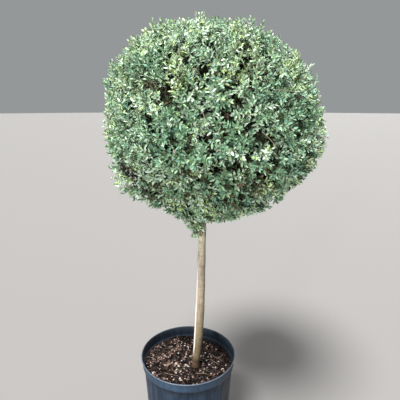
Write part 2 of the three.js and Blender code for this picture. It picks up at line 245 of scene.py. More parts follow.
# One leaf on each point, turned and sized by the points' own attributes.
def leafTree():
    tree, given = newTree("leaf on each point", {"Leaf": ("NodeSocketObject", None)})
    leaf = addNode(tree, "GeometryNodeObjectInfo", {"Object": given["Leaf"]})
    points = addNode(tree, "GeometryNodeMeshToPoints", {"Mesh": given["Geometry"]})
    along, facing, size = (
        addNode(tree, "GeometryNodeInputNamedAttribute", {"Name": name}, data_type="FLOAT_VECTOR")
        for name in ("along", "facing", "size"))
    turn = addNode(tree, "FunctionNodeAxesToRotation", {"Primary Axis": along, "Secondary Axis": facing},
                   primary_axis="Y", secondary_axis="Z")
    strewn = addNode(tree, "GeometryNodeInstanceOnPoints", {
        "Points": points, "Instance": leaf.outputs["Geometry"], "Rotation": turn, "Scale": size})
    return endTree(tree, given, strewn)


# A round tube along each line of edges, as thick as its points say.
def tubeTree():
    tree, given = newTree("tube along each line", {"Sides": ("NodeSocketInt", 4)})
    lines = addNode(tree, "GeometryNodeMeshToCurve", {"Mesh": given["Geometry"]})
    ring = addNode(tree, "GeometryNodeCurvePrimitiveCircle", {"Resolution": given["Sides"], "Radius": mm})
    thick = addNode(tree, "GeometryNodeInputNamedAttribute", {"Name": "thick"}, data_type="FLOAT")
    tubes = addNode(tree, "GeometryNodeCurveToMesh", {
        "Curve": lines, "Profile Curve": ring, "Scale": thick, "Fill Caps": True})
    return endTree(tree, given, addNode(tree, "GeometryNodeSetShadeSmooth", {"Geometry": tubes}))


# Chips lying every way on a surface, as thick on the ground as the surface's attribute says.
def scatterTree():
    tree, given = newTree("chips on a surface", {
        "Chip": ("NodeSocketObject", None),
        "Density": ("NodeSocketFloat", 1000.0),
        "Density Attribute": ("NodeSocketString", ""),
        "Smallest": ("NodeSocketFloat", 0.7),
        "Largest": ("NodeSocketFloat", 1.3),
        "Tilt": ("NodeSocketFloat", 1.0),
        "Seed": ("NodeSocketInt", 1),
    })
    tilt, seed = given["Tilt"], given["Seed"]
    share = addNode(tree, "GeometryNodeInputNamedAttribute", {"Name": given["Density Attribute"]},
                    data_type="FLOAT")
    density = addNode(tree, "ShaderNodeMath", {0: given["Density"], 1: share}, operation="MULTIPLY")
    points = addNode(tree, "GeometryNodeDistributePointsOnFaces", {
        "Mesh": given["Geometry"], "Density": density, "Seed": seed})
    chip = addNode(tree, "GeometryNodeObjectInfo", {"Object": given["Chip"]})
    back = addNode(tree, "ShaderNodeMath", {0: tilt, 1: -1.0}, operation="MULTIPLY")
    least = addNode(tree, "ShaderNodeCombineXYZ", {0: back, 1: back, 2: 0.0})
    most = addNode(tree, "ShaderNodeCombineXYZ", {0: tilt, 1: tilt, 2: tau})
    turn = addNode(tree, "FunctionNodeRandomValue", {"Min": least, "Max": most, "Seed": seed},
                   data_type="FLOAT_VECTOR")
    size = addNode(tree, "FunctionNodeRandomValue", {2: given["Smallest"], 3: given["Largest"], "Seed": seed},
                   data_type="FLOAT")  # 2 and 3 are its limits as plain numbers
    strewn = addNode(tree, "GeometryNodeInstanceOnPoints", {
        "Points": points, "Instance": chip.outputs["Geometry"], "Rotation": turn, "Scale": size})
    return endTree(tree, given, strewn)


# A number or a vector for each point of a piece.
def give(piece, name, values):
    values = np.asarray(values, np.float32)
    kind, key = ("FLOAT_VECTOR", "vector") if values.ndim == 2 else ("FLOAT", "value")
    made = piece.data.attributes.new(name, kind, "POINT")
    made.data.foreach_set(key, values.ravel())


# Camera, light and floor

view = {
    "place": (0.053, -1.599, 1.502),  # metres: held at shoulder height, 1.6 m in front of the pot
    "down": 13.76,  # degrees below the horizon
    "lens": 36,  # mm, as a phone's main camera on a square crop
    "frameWide": 36,
    "farthest": 100,  # metres
}


def makeCamera():
    lens = bpy.data.cameras.new("camera")
    lens.lens = view["lens"]
    lens.sensor_width = view["frameWide"]
    lens.clip_end = view["farthest"]
    camera = bpy.data.objects.new("camera", lens)
    camera.location = view["place"]
    camera.rotation_euler = (math.radians(90 - view["down"]), 0, 0)
    bpy.context.scene.collection.objects.link(camera)
    bpy.context.scene.camera = camera


studio = {
    "world": "#e6eaec",
    "worldStrength": 0.38,
    "floor": {"colour": "#6c6a68", "roughness": 0.9, "ior": 1.5, "radius": 60, "sides": 96},  # metres
    "lamps": [  # broad suns: the side each comes from, strength, degrees across
        {"name": "key", "from": (-0.38, -0.64, 1.45), "strength": 9.8, "angle": 20},
        {"name": "fill", "from": (-0.5, -1, 0.04), "strength": 4.4, "angle": 7},
        {"name": "back", "from": (0.4, 1, 0.8), "strength": 2.6, "angle": 40},
    ],
}


def makeStudio():
    world = bpy.data.worlds.new("studio")
    world.use_nodes = True
    background = world.node_tree.nodes["Background"]
    background.inputs["Color"].default_value = linear(studio["world"])
    background.inputs["Strength"].default_value = studio["worldStrength"]
    bpy.context.scene.world = world
    bpy.context.scene.view_settings.view_transform = "Standard"
    for lamp in studio["lamps"]:
        light = bpy.data.lights.new(lamp["name"], "SUN")
        light.energy = lamp["strength"]
        light.angle = math.radians(lamp["angle"])
        holder = bpy.data.objects.new(lamp["name"], light)
        holder.location = lamp["from"]
        holder.rotation_euler = Vector(lamp["from"]).to_track_quat("Z", "Y").to_euler()
        bpy.context.scene.collection.objects.link(holder)
    floor = studio["floor"]
    angles = roundAngles(floor["sides"])
    rim = np.stack([np.cos(angles), np.sin(angles), np.zeros(len(angles))], axis=1) * floor["radius"] / mm
    paper = newPiece("floor", rim, [range(len(angles))])
    surface = plainSurface(floor["colour"], floor["roughness"], floor["ior"])
    paper.data.materials.append(newMaterial("matt paper floor", surface))


makeCamera()
makeStudio()
print("camera, lights and floor ready")


# The stem's line and the crown's form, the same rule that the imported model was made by

stem = {
    "places": [(33, -27, 345.3), (46, -26, 500), (53, -25, 640), (60, -24, 878), (65, -22, 1010),
               (72, -20, 1150), (86, -20, 1300), (102, -20, 1446)],
    "radii": [(0, 18.4), (26, 16.8), (110, 18.2), (230, 20), (380, 18.4), (530, 16.2), (665, 13.4),
              (806, 11), (1107, 6)],  # by height above the foot
    "sides": 56,
    "ringsApart": 6,
    "seed": 5,
}

crown = {
    "middle": np.array([121.0, -20.0, 1367.0]),
    "halfWidth": 430,
    "rise": 424,
    "drop": 338,
    "squarenessAbove": 2.9,
    "squarenessBelow": 1.45,
    "swells": [  # a flatter shoulder on the right, and sprays that hang lower on the left
        {"way": towards(0, 45), "swell": -0.17, "spread": 38},
        {"way": towards(202, -25), "swell": 0.2, "spread": 15},
    ],
    "wave": 0.012,
    "waveApart": 0.9,
}

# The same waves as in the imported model: how much closer together they run across and up than
# along X, how far they slant, and where each begins.
waves = {"across": 1.17, "upright": 0.83, "slant": 0.4, "starts": (1.3, 0.4, 2.1)}

masses = {
    "topHeart": (108, -20, 1606),
    "ring": {"x": 78, "y": -20, "z": 1352, "radius": 242},
    "sides": [  # name, azimuth, lift of the heart, height of the fork
        ("right", 2, -8, 1088), ("back_right", 62, 10, 1126), ("back_left", 119, -12, 1096),
        ("left", 181, 6, 1132), ("front_left", 241, -10, 1084), ("front_right", 300, 12, 1118),
    ],
    "openMiddle": [(1000, 26), (1070, 34), (1170, 96), (1330, 96), (1440, 34)],  # radius by height
    "roomOnTop": 30,  # where the leader's foliage closes the middle
}


# A centripetal Catmull-Rom line through the places.
def smoothPath(places, steps):
    knots = np.array(places, float)
    knots = np.vstack([2 * knots[0] - knots[1], knots, 2 * knots[-1] - knots[-2]])
    share = np.linspace(0, 1, steps, endpoint=False)[:, None]
    line = []
    for a, b, c, d in zip(knots, knots[1:], knots[2:], knots[3:]):
        first, middle, last = (np.linalg.norm(q - p) ** 0.5 for p, q in ((a, b), (b, c), (c, d)))
        leave = ((b - a) / first - (c - a) / (first + middle) + (c - b) / middle) * middle
        arrive = ((c - b) / middle - (d - b) / (middle + last) + (d - c) / last) * middle
        line.append(b + leave * share + (3 * (c - b) - 2 * leave - arrive) * share**2
                    + (2 * (b - c) + leave + arrive) * share**3)
    return np.vstack([*line, knots[-2]])


stemLine = smoothPath(stem["places"], 16)


def stemAt(height):
    return np.stack([np.interp(height, stemLine[:, 2], stemLine[:, axis]) for axis in (0, 1, 2)], axis=-1)


def unevenness(places, apart):
    k = tau / apart
    x, y, z = places[..., 0], places[..., 1], places[..., 2]
    first, second, third = waves["starts"]
    across = np.sin(k * x + first) * np.cos(k * y * waves["across"] + second)
    return (across + np.sin(k * waves["upright"] * (z + x * waves["slant"]) + third)) / 2


# How far the clipped outline lies from the crown's middle in each direction.
def crownReach(ways):
    above = ways[..., 2] >= 0
    power = np.where(above, crown["squarenessAbove"], crown["squarenessBelow"])
    level = np.hypot(ways[..., 0], ways[..., 1]) / crown["halfWidth"]
    upright = np.abs(ways[..., 2]) / np.where(above, crown["rise"], crown["drop"])
    egg = (level**power + upright**power) ** (-1 / power)
    share = 1 + crown["wave"] * unevenness(ways, crown["waveApart"])
    for place in crown["swells"]:
        off = np.degrees(np.arccos(np.clip(ways @ place["way"], -1, 1)))
        share = share + place["swell"] * np.exp(-((off / place["spread"]) ** 2))
    return egg * share


# The places at a depth under the clipped outline in each direction.
def inCrown(ways, depth=0):
    return crown["middle"] + ways * (crownReach(ways) - depth)[:, None]


# How far directions lie from one of them, in mm across the crown.
def offWay(ways, azimuth, elevation):
    return np.linalg.norm(ways - towards(azimuth, elevation), axis=1) * crown["halfWidth"]


# How deep places lie under the clipped outline. Past it the depth is below zero.
def depthInCrown(places):
    offset = places - crown["middle"]
    distance = np.linalg.norm(offset, axis=-1)
    return crownReach(offset / distance[..., None]) - distance


# The room between places and the open middle round the stem, which the leader's foliage closes on top.
def roomToMiddle(places):
    height = places[..., 2]
    off = np.linalg.norm((places - stemAt(height))[..., :2], axis=-1)
    closed = height > masses["openMiddle"][-1][0]
    return np.where(closed, off + masses["roomOnTop"], off - readTable(masses["openMiddle"], height))


def heartOf(azimuth, lift):
    ring = masses["ring"]
    return towards(azimuth, 0) * ring["radius"] + [ring["x"], ring["y"], ring["z"] + lift]


hearts = np.array([masses["topHeart"]] + [heartOf(azimuth, lift) for _, azimuth, lift, _ in masses["sides"]])


def nearestMass(places):
    return np.linalg.norm(places[:, None] - hearts[None], axis=2).argmin(axis=1)


# Bark of the stem

barkLook = {
    "ridge": 0.45,  # relief of the fine ridges that run up the bark
    "ridges": [(15, 0.5), (23, 0.35)],  # two sets: how many round the stem, and their share
    "swing": (0.12, 60),  # radians that the ridges swing to and fro, and mm up the stem for each
    "drift": 37,  # mm up the stem for each radian that the second set drifts
    "patchy": (0.6, 0.4, 70),  # the ridges' steady share, the share that comes and goes, mm between
    "lump": 0.35,
    "lumpApart": 90,
    "scars": [  # old side shoots cut off flush: height, azimuth, how proud
        (452, 250, 1.1), (571, 300, 0.9), (668, 235, 1.0), (742, 290, 0.9), (826, 252, 1.0),
        (903, 310, 0.9), (968, 262, 1.0), (608, 80, 1.1), (777, 120, 1.0), (865, 60, 0.9),
    ],
    "scarWide": 9,
    "scarTall": 0.8,  # under 1, so that a scar is taller than wide
    "collarFade": 2,
    "dimple": 0.9,
    "dimpleFade": 14,
}


def makeStem():
    foot, tip = stem["places"][0][2], stem["places"][-1][2]
    heights = np.linspace(foot, tip, round((tip - foot) / stem["ringsApart"]) + 1)
    upright = heights[:, None]
    angles = roundAngles(stem["sides"]) + tau / 4  # the UV seam runs up the back
    radius = readTable(stem["radii"], heights - foot)[:, None]
    outward = np.stack([np.cos(angles), np.sin(angles), np.zeros_like(angles)], axis=-1)[None]
    bare = stemAt(heights)[:, None] + outward * radius[..., None]
    swing, swingApart = barkLook["swing"]
    turned = angles[None] + swing * np.sin(upright / swingApart)
    (wide, wideShare), (narrow, narrowShare) = barkLook["ridges"]
    ridges = np.sin(turned * wide) * wideShare
    ridges = ridges + np.sin(turned * narrow + upright / barkLook["drift"]) * narrowShare
    steady, loose, apart = barkLook["patchy"]
    ridges = ridges * (steady + loose * field(bare, apart, stem["seed"]))
    relief = barkLook["ridge"] * ridges
    relief = relief + barkLook["lump"] * field(bare, barkLook["lumpApart"], stem["seed"] + 1)
    for height, azimuth, proud in barkLook["scars"]:
        away = (angles[None] - math.radians(azimuth) + math.pi) % tau - math.pi
        reach = np.hypot(away * radius, (upright - height) * barkLook["scarTall"]) / barkLook["scarWide"]
        collar = np.exp(-(reach**2) * barkLook["collarFade"])
        dimple = barkLook["dimple"] * np.exp(-(reach**2) * barkLook["dimpleFade"])
        relief = relief + proud * (collar - dimple)
    points = bare + outward * relief[..., None]
    rows, columns = radius.size, stem["sides"]
    piece = newPiece("stem_bark", points.reshape(-1, 3), cappedGrid(rows, columns))
    # u runs round the stem from its back, to 1 where it meets itself again, and v up it, in metres
    lanes = piece.data.uv_layers.new(name="bark")
    u = np.tile(np.arange(columns) / columns, rows)
    v = np.repeat(heights * mm, columns)
    for face in piece.data.polygons:
        corners = [piece.data.loops[i].vertex_index for i in face.loop_indices]
        wraps = len(corners) == 4 and max(u[c] for c in corners) > 0.9
        for i, corner in zip(face.loop_indices, corners):
            lanes.data[i].uv = (1.0 if wraps and u[corner] < 0.1 else u[corner], v[corner])
    setSmooth(piece)
    return piece


# Living bark, smooth and thin with fine ridges: matt tan, olive brown near the ground and paler higher up.
# Painted light: a pale band on the left where the light falls, and lighter tones up under the crown against
# its shade.
def barkSurface(tree):
    place = addNode(tree, "ShaderNodeTexCoord").outputs["Object"]
    lanes = addNode(tree, "ShaderNodeUVMap", uv_map="bark")
    split = addNode(tree, "ShaderNodeSeparateXYZ", {"Vector": place})
    height = addNode(tree, "ShaderNodeMapRange", {
        "Value": split.outputs["Z"], "From Min": 0.345, "From Max": 1.345})  # metres, from the mix up
    # the tones change with height, a little higher or lower from one 70 mm patch to the next
    wander = addNode(tree, "ShaderNodeTexNoise", {"Vector": place, "Scale": 14.0, "Detail": 3.0})
    uneven = addNode(tree, "ShaderNodeMath", {0: wander, 1: 0.05, 2: -0.025}, operation="MULTIPLY_ADD")
    level = addNode(tree, "ShaderNodeMath", {0: height, 1: uneven})
    # painted light: the upper stops are lighter, against the shade that the crown casts on the stem
    heightTonesAndLight = addNode(tree, "ShaderNodeValToRGB", {"Fac": level}, stops=[
        (0.0, "#3d2a1e"), (0.02, "#4e3b28"), (0.07, "#52432d"), (0.12, "#5a4c35"), (0.18, "#70624b"),
        (0.3, "#8b7e6a"), (0.46, "#9a8d7c"), (0.56, "#a29983"), (0.68, "#b7ae96")])
    # streaks 2 to 3 mm wide and some 50 mm long
    long = addNode(tree, "ShaderNodeMapping", {"Vector": place, "Scale": (1, 1, 0.06)})
    streak = addNode(tree, "ShaderNodeTexNoise", {
        "Vector": long, "Scale": 330.0, "Detail": 4.0, "Roughness": 0.65})
    tone = addNode(tree, "ShaderNodeMapRange", {
        "Value": streak, "From Min": 0.3, "From Max": 0.7, "To Min": 0.56, "To Max": 1.24})
    streaked = addNode(tree, "ShaderNodeMix", {"Factor": 1.0, colourA: heightTonesAndLight, colourB: tone}, **multiplied)
    # faint rings of lenticels 10 to 20 mm apart
    flat = addNode(tree, "ShaderNodeMapping", {"Vector": place, "Scale": (0.35, 0.35, 1)})
    rings = addNode(tree, "ShaderNodeTexNoise", {"Vector": flat, "Scale": 95.0, "Detail": 3.0})
    ring = addNode(tree, "ShaderNodeMapRange", {
        "Value": rings, "From Min": 0.35, "From Max": 0.65, "To Min": 0.8, "To Max": 1.12})
    ringed = addNode(tree, "ShaderNodeMix", {"Factor": 1.0, colourA: streaked, colourB: ring}, **multiplied)
    # olive blotches some 20 mm across
    blotch = addNode(tree, "ShaderNodeTexNoise", {"Vector": place, "Scale": 55.0, "Detail": 4.0})
    blotches = addNode(tree, "ShaderNodeMapRange", {
        "Value": blotch, "From Min": 0.52, "From Max": 0.7, "To Min": 0.0, "To Max": 0.55})
    mottled = addNode(tree, "ShaderNodeMix", {
        "Factor": blotches, colourA: ringed, colourB: linear("#625b47")}, **blended)
    # painted light: a pale band of the bark a sixth of the way round, on the left, where the light falls
    around = addNode(tree, "ShaderNodeSeparateXYZ", {"Vector": lanes})
    off = addNode(tree, "ShaderNodeMath", {0: around.outputs["X"], 1: 0.3}, operation="SUBTRACT")
    near = addNode(tree, "ShaderNodeMath", {0: off}, operation="ABSOLUTE")
    side = addNode(tree, "ShaderNodeMapRange", {"Value": near, "From Min": 0.085, "From Max": 0.055},
                   interpolation_type="SMOOTHSTEP")
    span = addNode(tree, "ShaderNodeValToRGB", {"Fac": height}, stops=[
        (0.055, "#000000"), (0.11, "#ffffff"), (0.45, "#ffffff"), (0.52, "#000000")])
    paintedLitSide = addNode(tree, "ShaderNodeMath", {0: side, 1: span}, operation="MULTIPLY")
    paintedLitShare = addNode(tree, "ShaderNodeMath", {0: paintedLitSide, 1: tone}, operation="MULTIPLY", use_clamp=True)
    # the pale tone of the painted light on the left side, streaked with the bark
    colour = addNode(tree, "ShaderNodeMix", {
        "Factor": paintedLitShare, colourA: mottled, colourB: linear("#cbbfb6")}, **blended)
    bump = addNode(tree, "ShaderNodeBump", {"Height": streak, "Strength": 0.5, "Distance": 0.0012})
    return addNode(tree, "ShaderNodeBsdfPrincipled", {
        "Base Color": colour, "Roughness": 0.78, "IOR": 1.45, "Normal": bump})


dress(makeStem(), "stem_bark", ["stem"], newMaterial("living bark, thin and ridged", barkSurface))
print("stem made")


# Boughs: each leaves the stem at its fork and runs to its mass's heart. The leader ends in the top.

boughs = {
    "sag": 26,
    "radius": 8,
    "heartRadius": 5,
    "leaderFrom": 4,  # under the stem's tip
    "leaderAs": 1097,  # the leader starts as thick as the stem is this high over its foot
    "collar": (2.6, 16),  # how much thicker at the stem, and how fast that fades
    "lump": 0.5,
    "lumpApart": 34,
    "ridge": 0.3,
    "ridgesRound": 7,
    "steady": [0.31, -0.2, 0.93],  # a direction that no bough runs in
    "sides": 16,
    "rings": 44,
    "seed": 40,
}


def boughCurves():
    starts, bends, ends = [], [], []
    for heart, (_, _, _, fork) in zip(hearts[1:], masses["sides"]):
        foot = stemAt(fork)
        starts.append(foot)
        bends.append((foot + heart) / 2 - [0, 0, boughs["sag"]])
        ends.append(heart)
    leader = stemAt(stem["places"][-1][2] - boughs["leaderFrom"])
    starts.append(leader)
    bends.append((leader + hearts[0]) / 2)
    ends.append(hearts[0])
    return [np.array(part, float) for part in (starts, bends, ends)]


def makeBoughs():
    curves = boughCurves()
    sides, rings = boughs["sides"], boughs["rings"]
    t = np.linspace(0, 1, rings)
    angles = roundAngles(sides)
    swollen, fade = boughs["collar"]
    points, faces = [], []
    for k, curve in enumerate(zip(*curves)):
        isLeader = k == len(curves[0]) - 1
        thick = readTable(stem["radii"], boughs["leaderAs"]) if isLeader else boughs["radius"]
        radius = thick + (boughs["heartRadius"] - thick) * t
        if not isLeader:
            radius = radius + swollen * np.exp(-t * fade)
        ring = squareTo(curveWay(curve, t)[:, None], boughs["steady"], angles[None])
        bare = curvePoint(curve, t)[:, None] + ring * radius[:, None, None]
        relief = boughs["lump"] * field(bare, boughs["lumpApart"], boughs["seed"] + k)
        relief = relief + boughs["ridge"] * np.sin(angles * boughs["ridgesRound"])[None]
        points.append((bare + ring * relief[..., None]).reshape(-1, 3))
        faces += cappedGrid(rings, sides, k * rings * sides)
    piece = newPiece("boughs", np.vstack(points), faces)
    setSmooth(piece)
    return piece


# Thin grey-brown bark, matt. Its cracks are too fine to show and are drawn as mottles of 11 mm.
def boughSurface(tree):
    place = addNode(tree, "ShaderNodeTexCoord").outputs["Object"]
    grain = addNode(tree, "ShaderNodeTexNoise", {"Vector": place, "Scale": 90.0, "Detail": 5.0})
    colour = addNode(tree, "ShaderNodeValToRGB", {"Fac": grain}, stops=[
        (0.32, "#342921"), (0.5, "#52473d"), (0.68, "#6f665a")])
    bump = addNode(tree, "ShaderNodeBump", {"Height": grain, "Strength": 0.6, "Distance": 0.0015})
    return addNode(tree, "ShaderNodeBsdfPrincipled", {
        "Base Color": colour, "Roughness": 0.85, "IOR": 1.45, "Normal": bump})


boughNodes = ["bough_" + name for name, _, _, _ in masses["sides"]]
foliageNodes = ["foliage_top"] + ["foliage_" + name for name, _, _, _ in masses["sides"]]
boughBark = newMaterial("bough bark, thin and cracked", boughSurface)
dress(makeBoughs(), "bough_bark", boughNodes, boughBark)
print("boughs made")


# Twigs and leaves: the source's rule, carried to finer twigs

twigs = {
    "count": 84,
    "depth": 46,  # from the outline to a main twig's tip
    "depthSpread": 12,
    "bend": 0.05,  # of its length
    "radii": (4.4, 1.7),
    "seed": 27,
    "strays": [(180, 33, 18), (2, 32, 20), (320, 84, 14), (190, 62, 16)],  # azimuth, elevation, how proud
    "hangingTips": [(34, -68, 998), (42, -64, 1000), (36, -70, 1030)],  # beside the stem
}

sprays = {
    "layers": [  # from the outside in; long is from root to tip
        {"name": "outer", "count": 960, "depth": 9, "depthSpread": 9, "clump": 7.5, "long": 95, "shoots": 5,
         "leaf": 1.0, "seed": 31},
        {"name": "middle", "count": 560, "depth": 44, "depthSpread": 16, "clump": 8, "long": 90, "shoots": 5,
         "leaf": 1.05, "seed": 32},
        {"name": "inner", "count": 400, "depth": 96, "depthSpread": 26, "clump": 0, "long": 85, "shoots": 4,
         "leaf": 1.35, "seed": 33},
        {"name": "core", "count": 240, "depth": 165, "depthSpread": 35, "clump": 0, "long": 80, "shoots": 4,
         "leaf": 1.7, "seed": 34},
    ],
    "leastDepth": 2,
    "clumpApart": 80,
    "clumpSeed": 8,
    "roughBelow": 3.2,
    "roughFrom": (0.15, 0.6),  # these pairs are sines of the angle below or above the crown's middle
    "fullerTop": 10,  # how much higher the tips reach on top, where the shears passed less often
    "fullerFrom": (0.55, 0.85),
    "openPlaces": [  # shaded pockets among the sprays: azimuth, elevation, how wide
        (257, 14, 36), (263, 22, 26), (256, 8, 36), (252, 19, 24), (277, 19, 28), (253, -3, 32),
        (283, 2, 28), (262, 2, 28), (271, 12, 26), (276, 5, 32), (251, 1, 24), (245, -31, 34),
        (246, 14, 22), (270, -19, 32), (292, -17, 36), (307, -10, 34), (290, 10, 28), (242, 6, 22),
        (286, 9, 24), (310, 6, 20), (235, -31, 30), (296, 2, 20), (292, 11, 28), (270, 7, 26),
        (273, -3, 24), (263, 32, 20), (267, 35, 18), (249, 29, 18), (283, 30, 18), (218, -31, 34),
        (224, -37, 36), (233, -39, 30), (285, -22, 30), (278, -36, 28), (259, -37, 26), (253, -52, 44),
        (262, -57, 40), (240, -60, 36), (30, 8, 30), (62, 20, 28), (95, -8, 34), (128, 14, 30),
        (160, -14, 32), (345, -12, 32), (75, -26, 38), (140, -30, 36), (12, -28, 34), (45, -12, 28),
        (110, 4, 26), (185, 8, 26), (205, -20, 32), (330, 14, 24),
    ],
    "openShare": 0.4,  # of that width, on each side of the middle
    "gapsApart": 40,  # and smaller gaps between clumps, all round
    "gapsBelow": -0.93,  # where a field of that spacing, about -1 to 1, is under this
    "gapsLean": 0.4,  # and so much sooner at the very bottom, later at the top
    "gapsSeed": 9,
    "gapsDeep": 70,
    "thinUnder": 0.22,  # share of the sprays missing underneath
    "thinFrom": (0.1, 0.4),
    "darkUnder": {"share": 0.9, "from": -0.12, "apart": 50, "seed": 62},
    "scatter": 0.2,  # of the golden grid's spacing, so that no spiral shows
    "leaves": 0.6,  # the share of a spray's own length that carries leaves
    "rootedOn": np.linspace(0.35, 0.98, 14),  # places along a main twig
    "farther": 1000,  # what another mass's twigs count as, so that no spray is rooted there
    "longSpread": (0.85, 1.15),
    "leave": 0.42,
    "arrive": 0.5,
    "radii": (1.5, 0.75),
    "upturn": (0.35, 0.9),  # of a spray's end, on top and underneath
    "upturnFrom": (0.1, 0.7),
    "sway": 0.25,
    "clearance": 10,  # from the open middle
    "sprigs": [  # missed by the shears: azimuth, elevation, how far past the outline, sprays
        (211, 57, 20, 4), (250, 65, 14, 4), (283, 62, 15, 5), (298, 58, 24, 4), (330, 32, 16, 3),
        (194, 28, 10, 3), (195, 37, 12, 3), (198, 45, 8, 3), (204, -45, 18, 6), (211, -50, 26, 8),
        (219, -55, 26, 8), (228, -60, 22, 7), (327, -50, 12, 5), (309, -52, 10, 5), (40, 60, 16, 4),
        (95, 35, 14, 3), (150, 50, 12, 4), (252, -62, 14, 6), (272, -60, 12, 5), (286, -56, 16, 6),
        (298, -46, 12, 5), (340, -42, 14, 5), (196, -36, 12, 4), (60, -55, 16, 6), (100, -50, 14, 5),
        (140, -50, 16, 6), (178, -48, 14, 5), (20, -50, 14, 5),
    ],
    "sprig": {"onStray": 3, "spread": 3.5, "long": 80, "reach": (0.45, 1), "back": 3, "seed": 71},
    "hanging": {"shoots": 40, "from": 0.35, "long": (14, 30), "strewn": (0.8, 0.6, 0.3),
                "drawn": (0.1, -0.3, -0.5), "sag": 2, "leaf": 1.1, "seed": 72},
    "bare": {"count": 40, "long": (50, 95), "depth": (3, 14), "sunk": 22, "scatter": 0.1, "bow": 0.2,
             "radii": (0.9, 0.5), "seed": 73},
}

shoots = {
    "first": 0.3,  # share of a spray's length, and how far on the last one stands
    "span": 0.58,
    "jitter": 0.05,
    "splay": 47,
    "splaySpread": 9,
    "long": (60, 34),  # at a spray's root and at its tip
    "longSpread": (0.75, 1.2),
    "bend": 0.55,  # shares of its length: to the bend, out, on along the spray, and up
    "out": 0.94,
    "on": 0.16,
    "rise": 0.1,
    "radii": (0.95, 0.55),
    "over": 2,  # how far a shoot may reach past the clipped outline
    "clearance": 4,
    "leaves": 0.95,
}

leaf = {
    "long": 19.5,
    "wide": 8.2,
    "apart": 8.2,  # between pairs along a shoot
    "fromTip": 0.5,  # of the youngest pair
    "spread": 0.16,
    "turnSpread": 0.2,
    "splay": (24, 62),  # of the youngest and of the full-grown pairs
    "splaySpread": 7,
    "youngSize": 0.62,
    "youngPairs": 3,
    "lift": (0.45, 0.12),  # how far leaves turn their faces up, on top and underneath
    "outward": (0.45, 0.85),  # and out of the crown
    "levelled": (1, 1, 0.25),  # the way out, taken as more level than it is
    "underFrom": (0.05, -0.6),
    "largerUnder": 0.3,
    "loose": 0.5,
    "over": 9,  # how far a leaf may reach past the clipped outline
    "clearance": 2,
}

seedsOn = {"shoots": 100, "kinds": 200, "leaves": 300, "shootLeaves": 400}  # from each layer's own seed
seedsApart = {"sprigs": 501, "hangingShoots": 502, "hangingTwigs": 503, "tones": 504}


def mainTwigs():
    draw = np.random.default_rng(twigs["seed"])
    ways = goldenDirections(twigs["count"])
    depth = twigs["depth"] + draw.uniform(-1, 1, len(ways)) * twigs["depthSpread"]
    strays = np.array([towards(azimuth, elevation) for azimuth, elevation, _ in twigs["strays"]])
    proud = np.array([stray[2] for stray in twigs["strays"]])
    tips = np.vstack([inCrown(ways, depth), inCrown(strays, twigs["depth"] - proud), twigs["hangingTips"]])
    starts = hearts[nearestMass(tips)]
    length = np.linalg.norm(tips - starts, axis=1)
    bends = (starts + tips) / 2 + draw.uniform(-1, 1, tips.shape) * (twigs["bend"] * length)[:, None]
    return [starts, bends, tips]


# Roots each spray on the main twig of its own mass that passes nearest to where it wants to start.
def rootSprays(tips, ways, long, parents, draw):
    shares = sprays["rootedOn"]
    places = alongEach(curvePoint, parents, shares).reshape(-1, 3)
    tangents = alongEach(curveWay, parents, shares).reshape(-1, 3)
    wanted = tips - ways * (long * draw.uniform(*sprays["longSpread"], len(tips)))[:, None]
    off = np.linalg.norm(wanted[:, None] - places[None], axis=2)
    elsewhere = nearestMass(tips)[:, None] != np.repeat(nearestMass(parents[2]), len(shares))[None]
    best = (off + sprays["farther"] * elsewhere).argmin(axis=1)
    roots = places[best]
    length = np.linalg.norm(tips - roots, axis=1)[:, None]
    onTop, underneath = sprays["upturn"]
    upturn = onTop + (underneath - onTop) * smoothStep(-ways[:, 2], *sprays["upturnFrom"])
    sway = draw.normal(size=ways.shape) * sprays["sway"]
    finish = unit(ways + up * upturn[:, None] + sway)
    leaving = roots + tangents[best] * length * sprays["leave"]
    bends = 0.5 * leaving + 0.5 * (tips - finish * length * sprays["arrive"])
    return [roots, bends, tips]


def inOpenPlace(ways):
    inside = np.zeros(len(ways), bool)
    for azimuth, elevation, wide in sprays["openPlaces"]:
        inside |= offWay(ways, azimuth, elevation) < wide * sprays["openShare"]
    return inside


def layerOfSprays(layer, parents):
    draw = np.random.default_rng(layer["seed"])
    count = layer["count"]
    spacing = math.sqrt(4 * math.pi / count)
    ways = unit(goldenDirections(count) + draw.normal(size=(count, 3)) * sprays["scatter"] * spacing)
    rise = ways[:, 2]
    bare = inCrown(ways)
    rougher = 1 + sprays["roughBelow"] * smoothStep(-rise, *sprays["roughFrom"])
    clump = field(bare, sprays["clumpApart"], sprays["clumpSeed"]) * layer["clump"] * rougher
    depth = layer["depth"] + draw.uniform(-1, 1, count) * layer["depthSpread"] + clump
    fuller = sprays["fullerTop"] * smoothStep(rise, *sprays["fullerFrom"])
    depth = np.maximum(depth, sprays["leastDepth"]) - fuller
    curves = rootSprays(inCrown(ways, depth), ways, layer["long"], parents, draw)
    gap = inOpenPlace(ways)
    least = sprays["gapsBelow"] - sprays["gapsLean"] * rise
    gap |= field(bare, sprays["gapsApart"], sprays["gapsSeed"]) < least
    gap |= draw.uniform(size=count) < sprays["thinUnder"] * smoothStep(-rise, *sprays["thinFrom"])
    clear = roomToMiddle(curves[2]) > sprays["clearance"]
    clear &= (depth > sprays["gapsDeep"]) | ~gap
    return [part[clear] for part in curves]


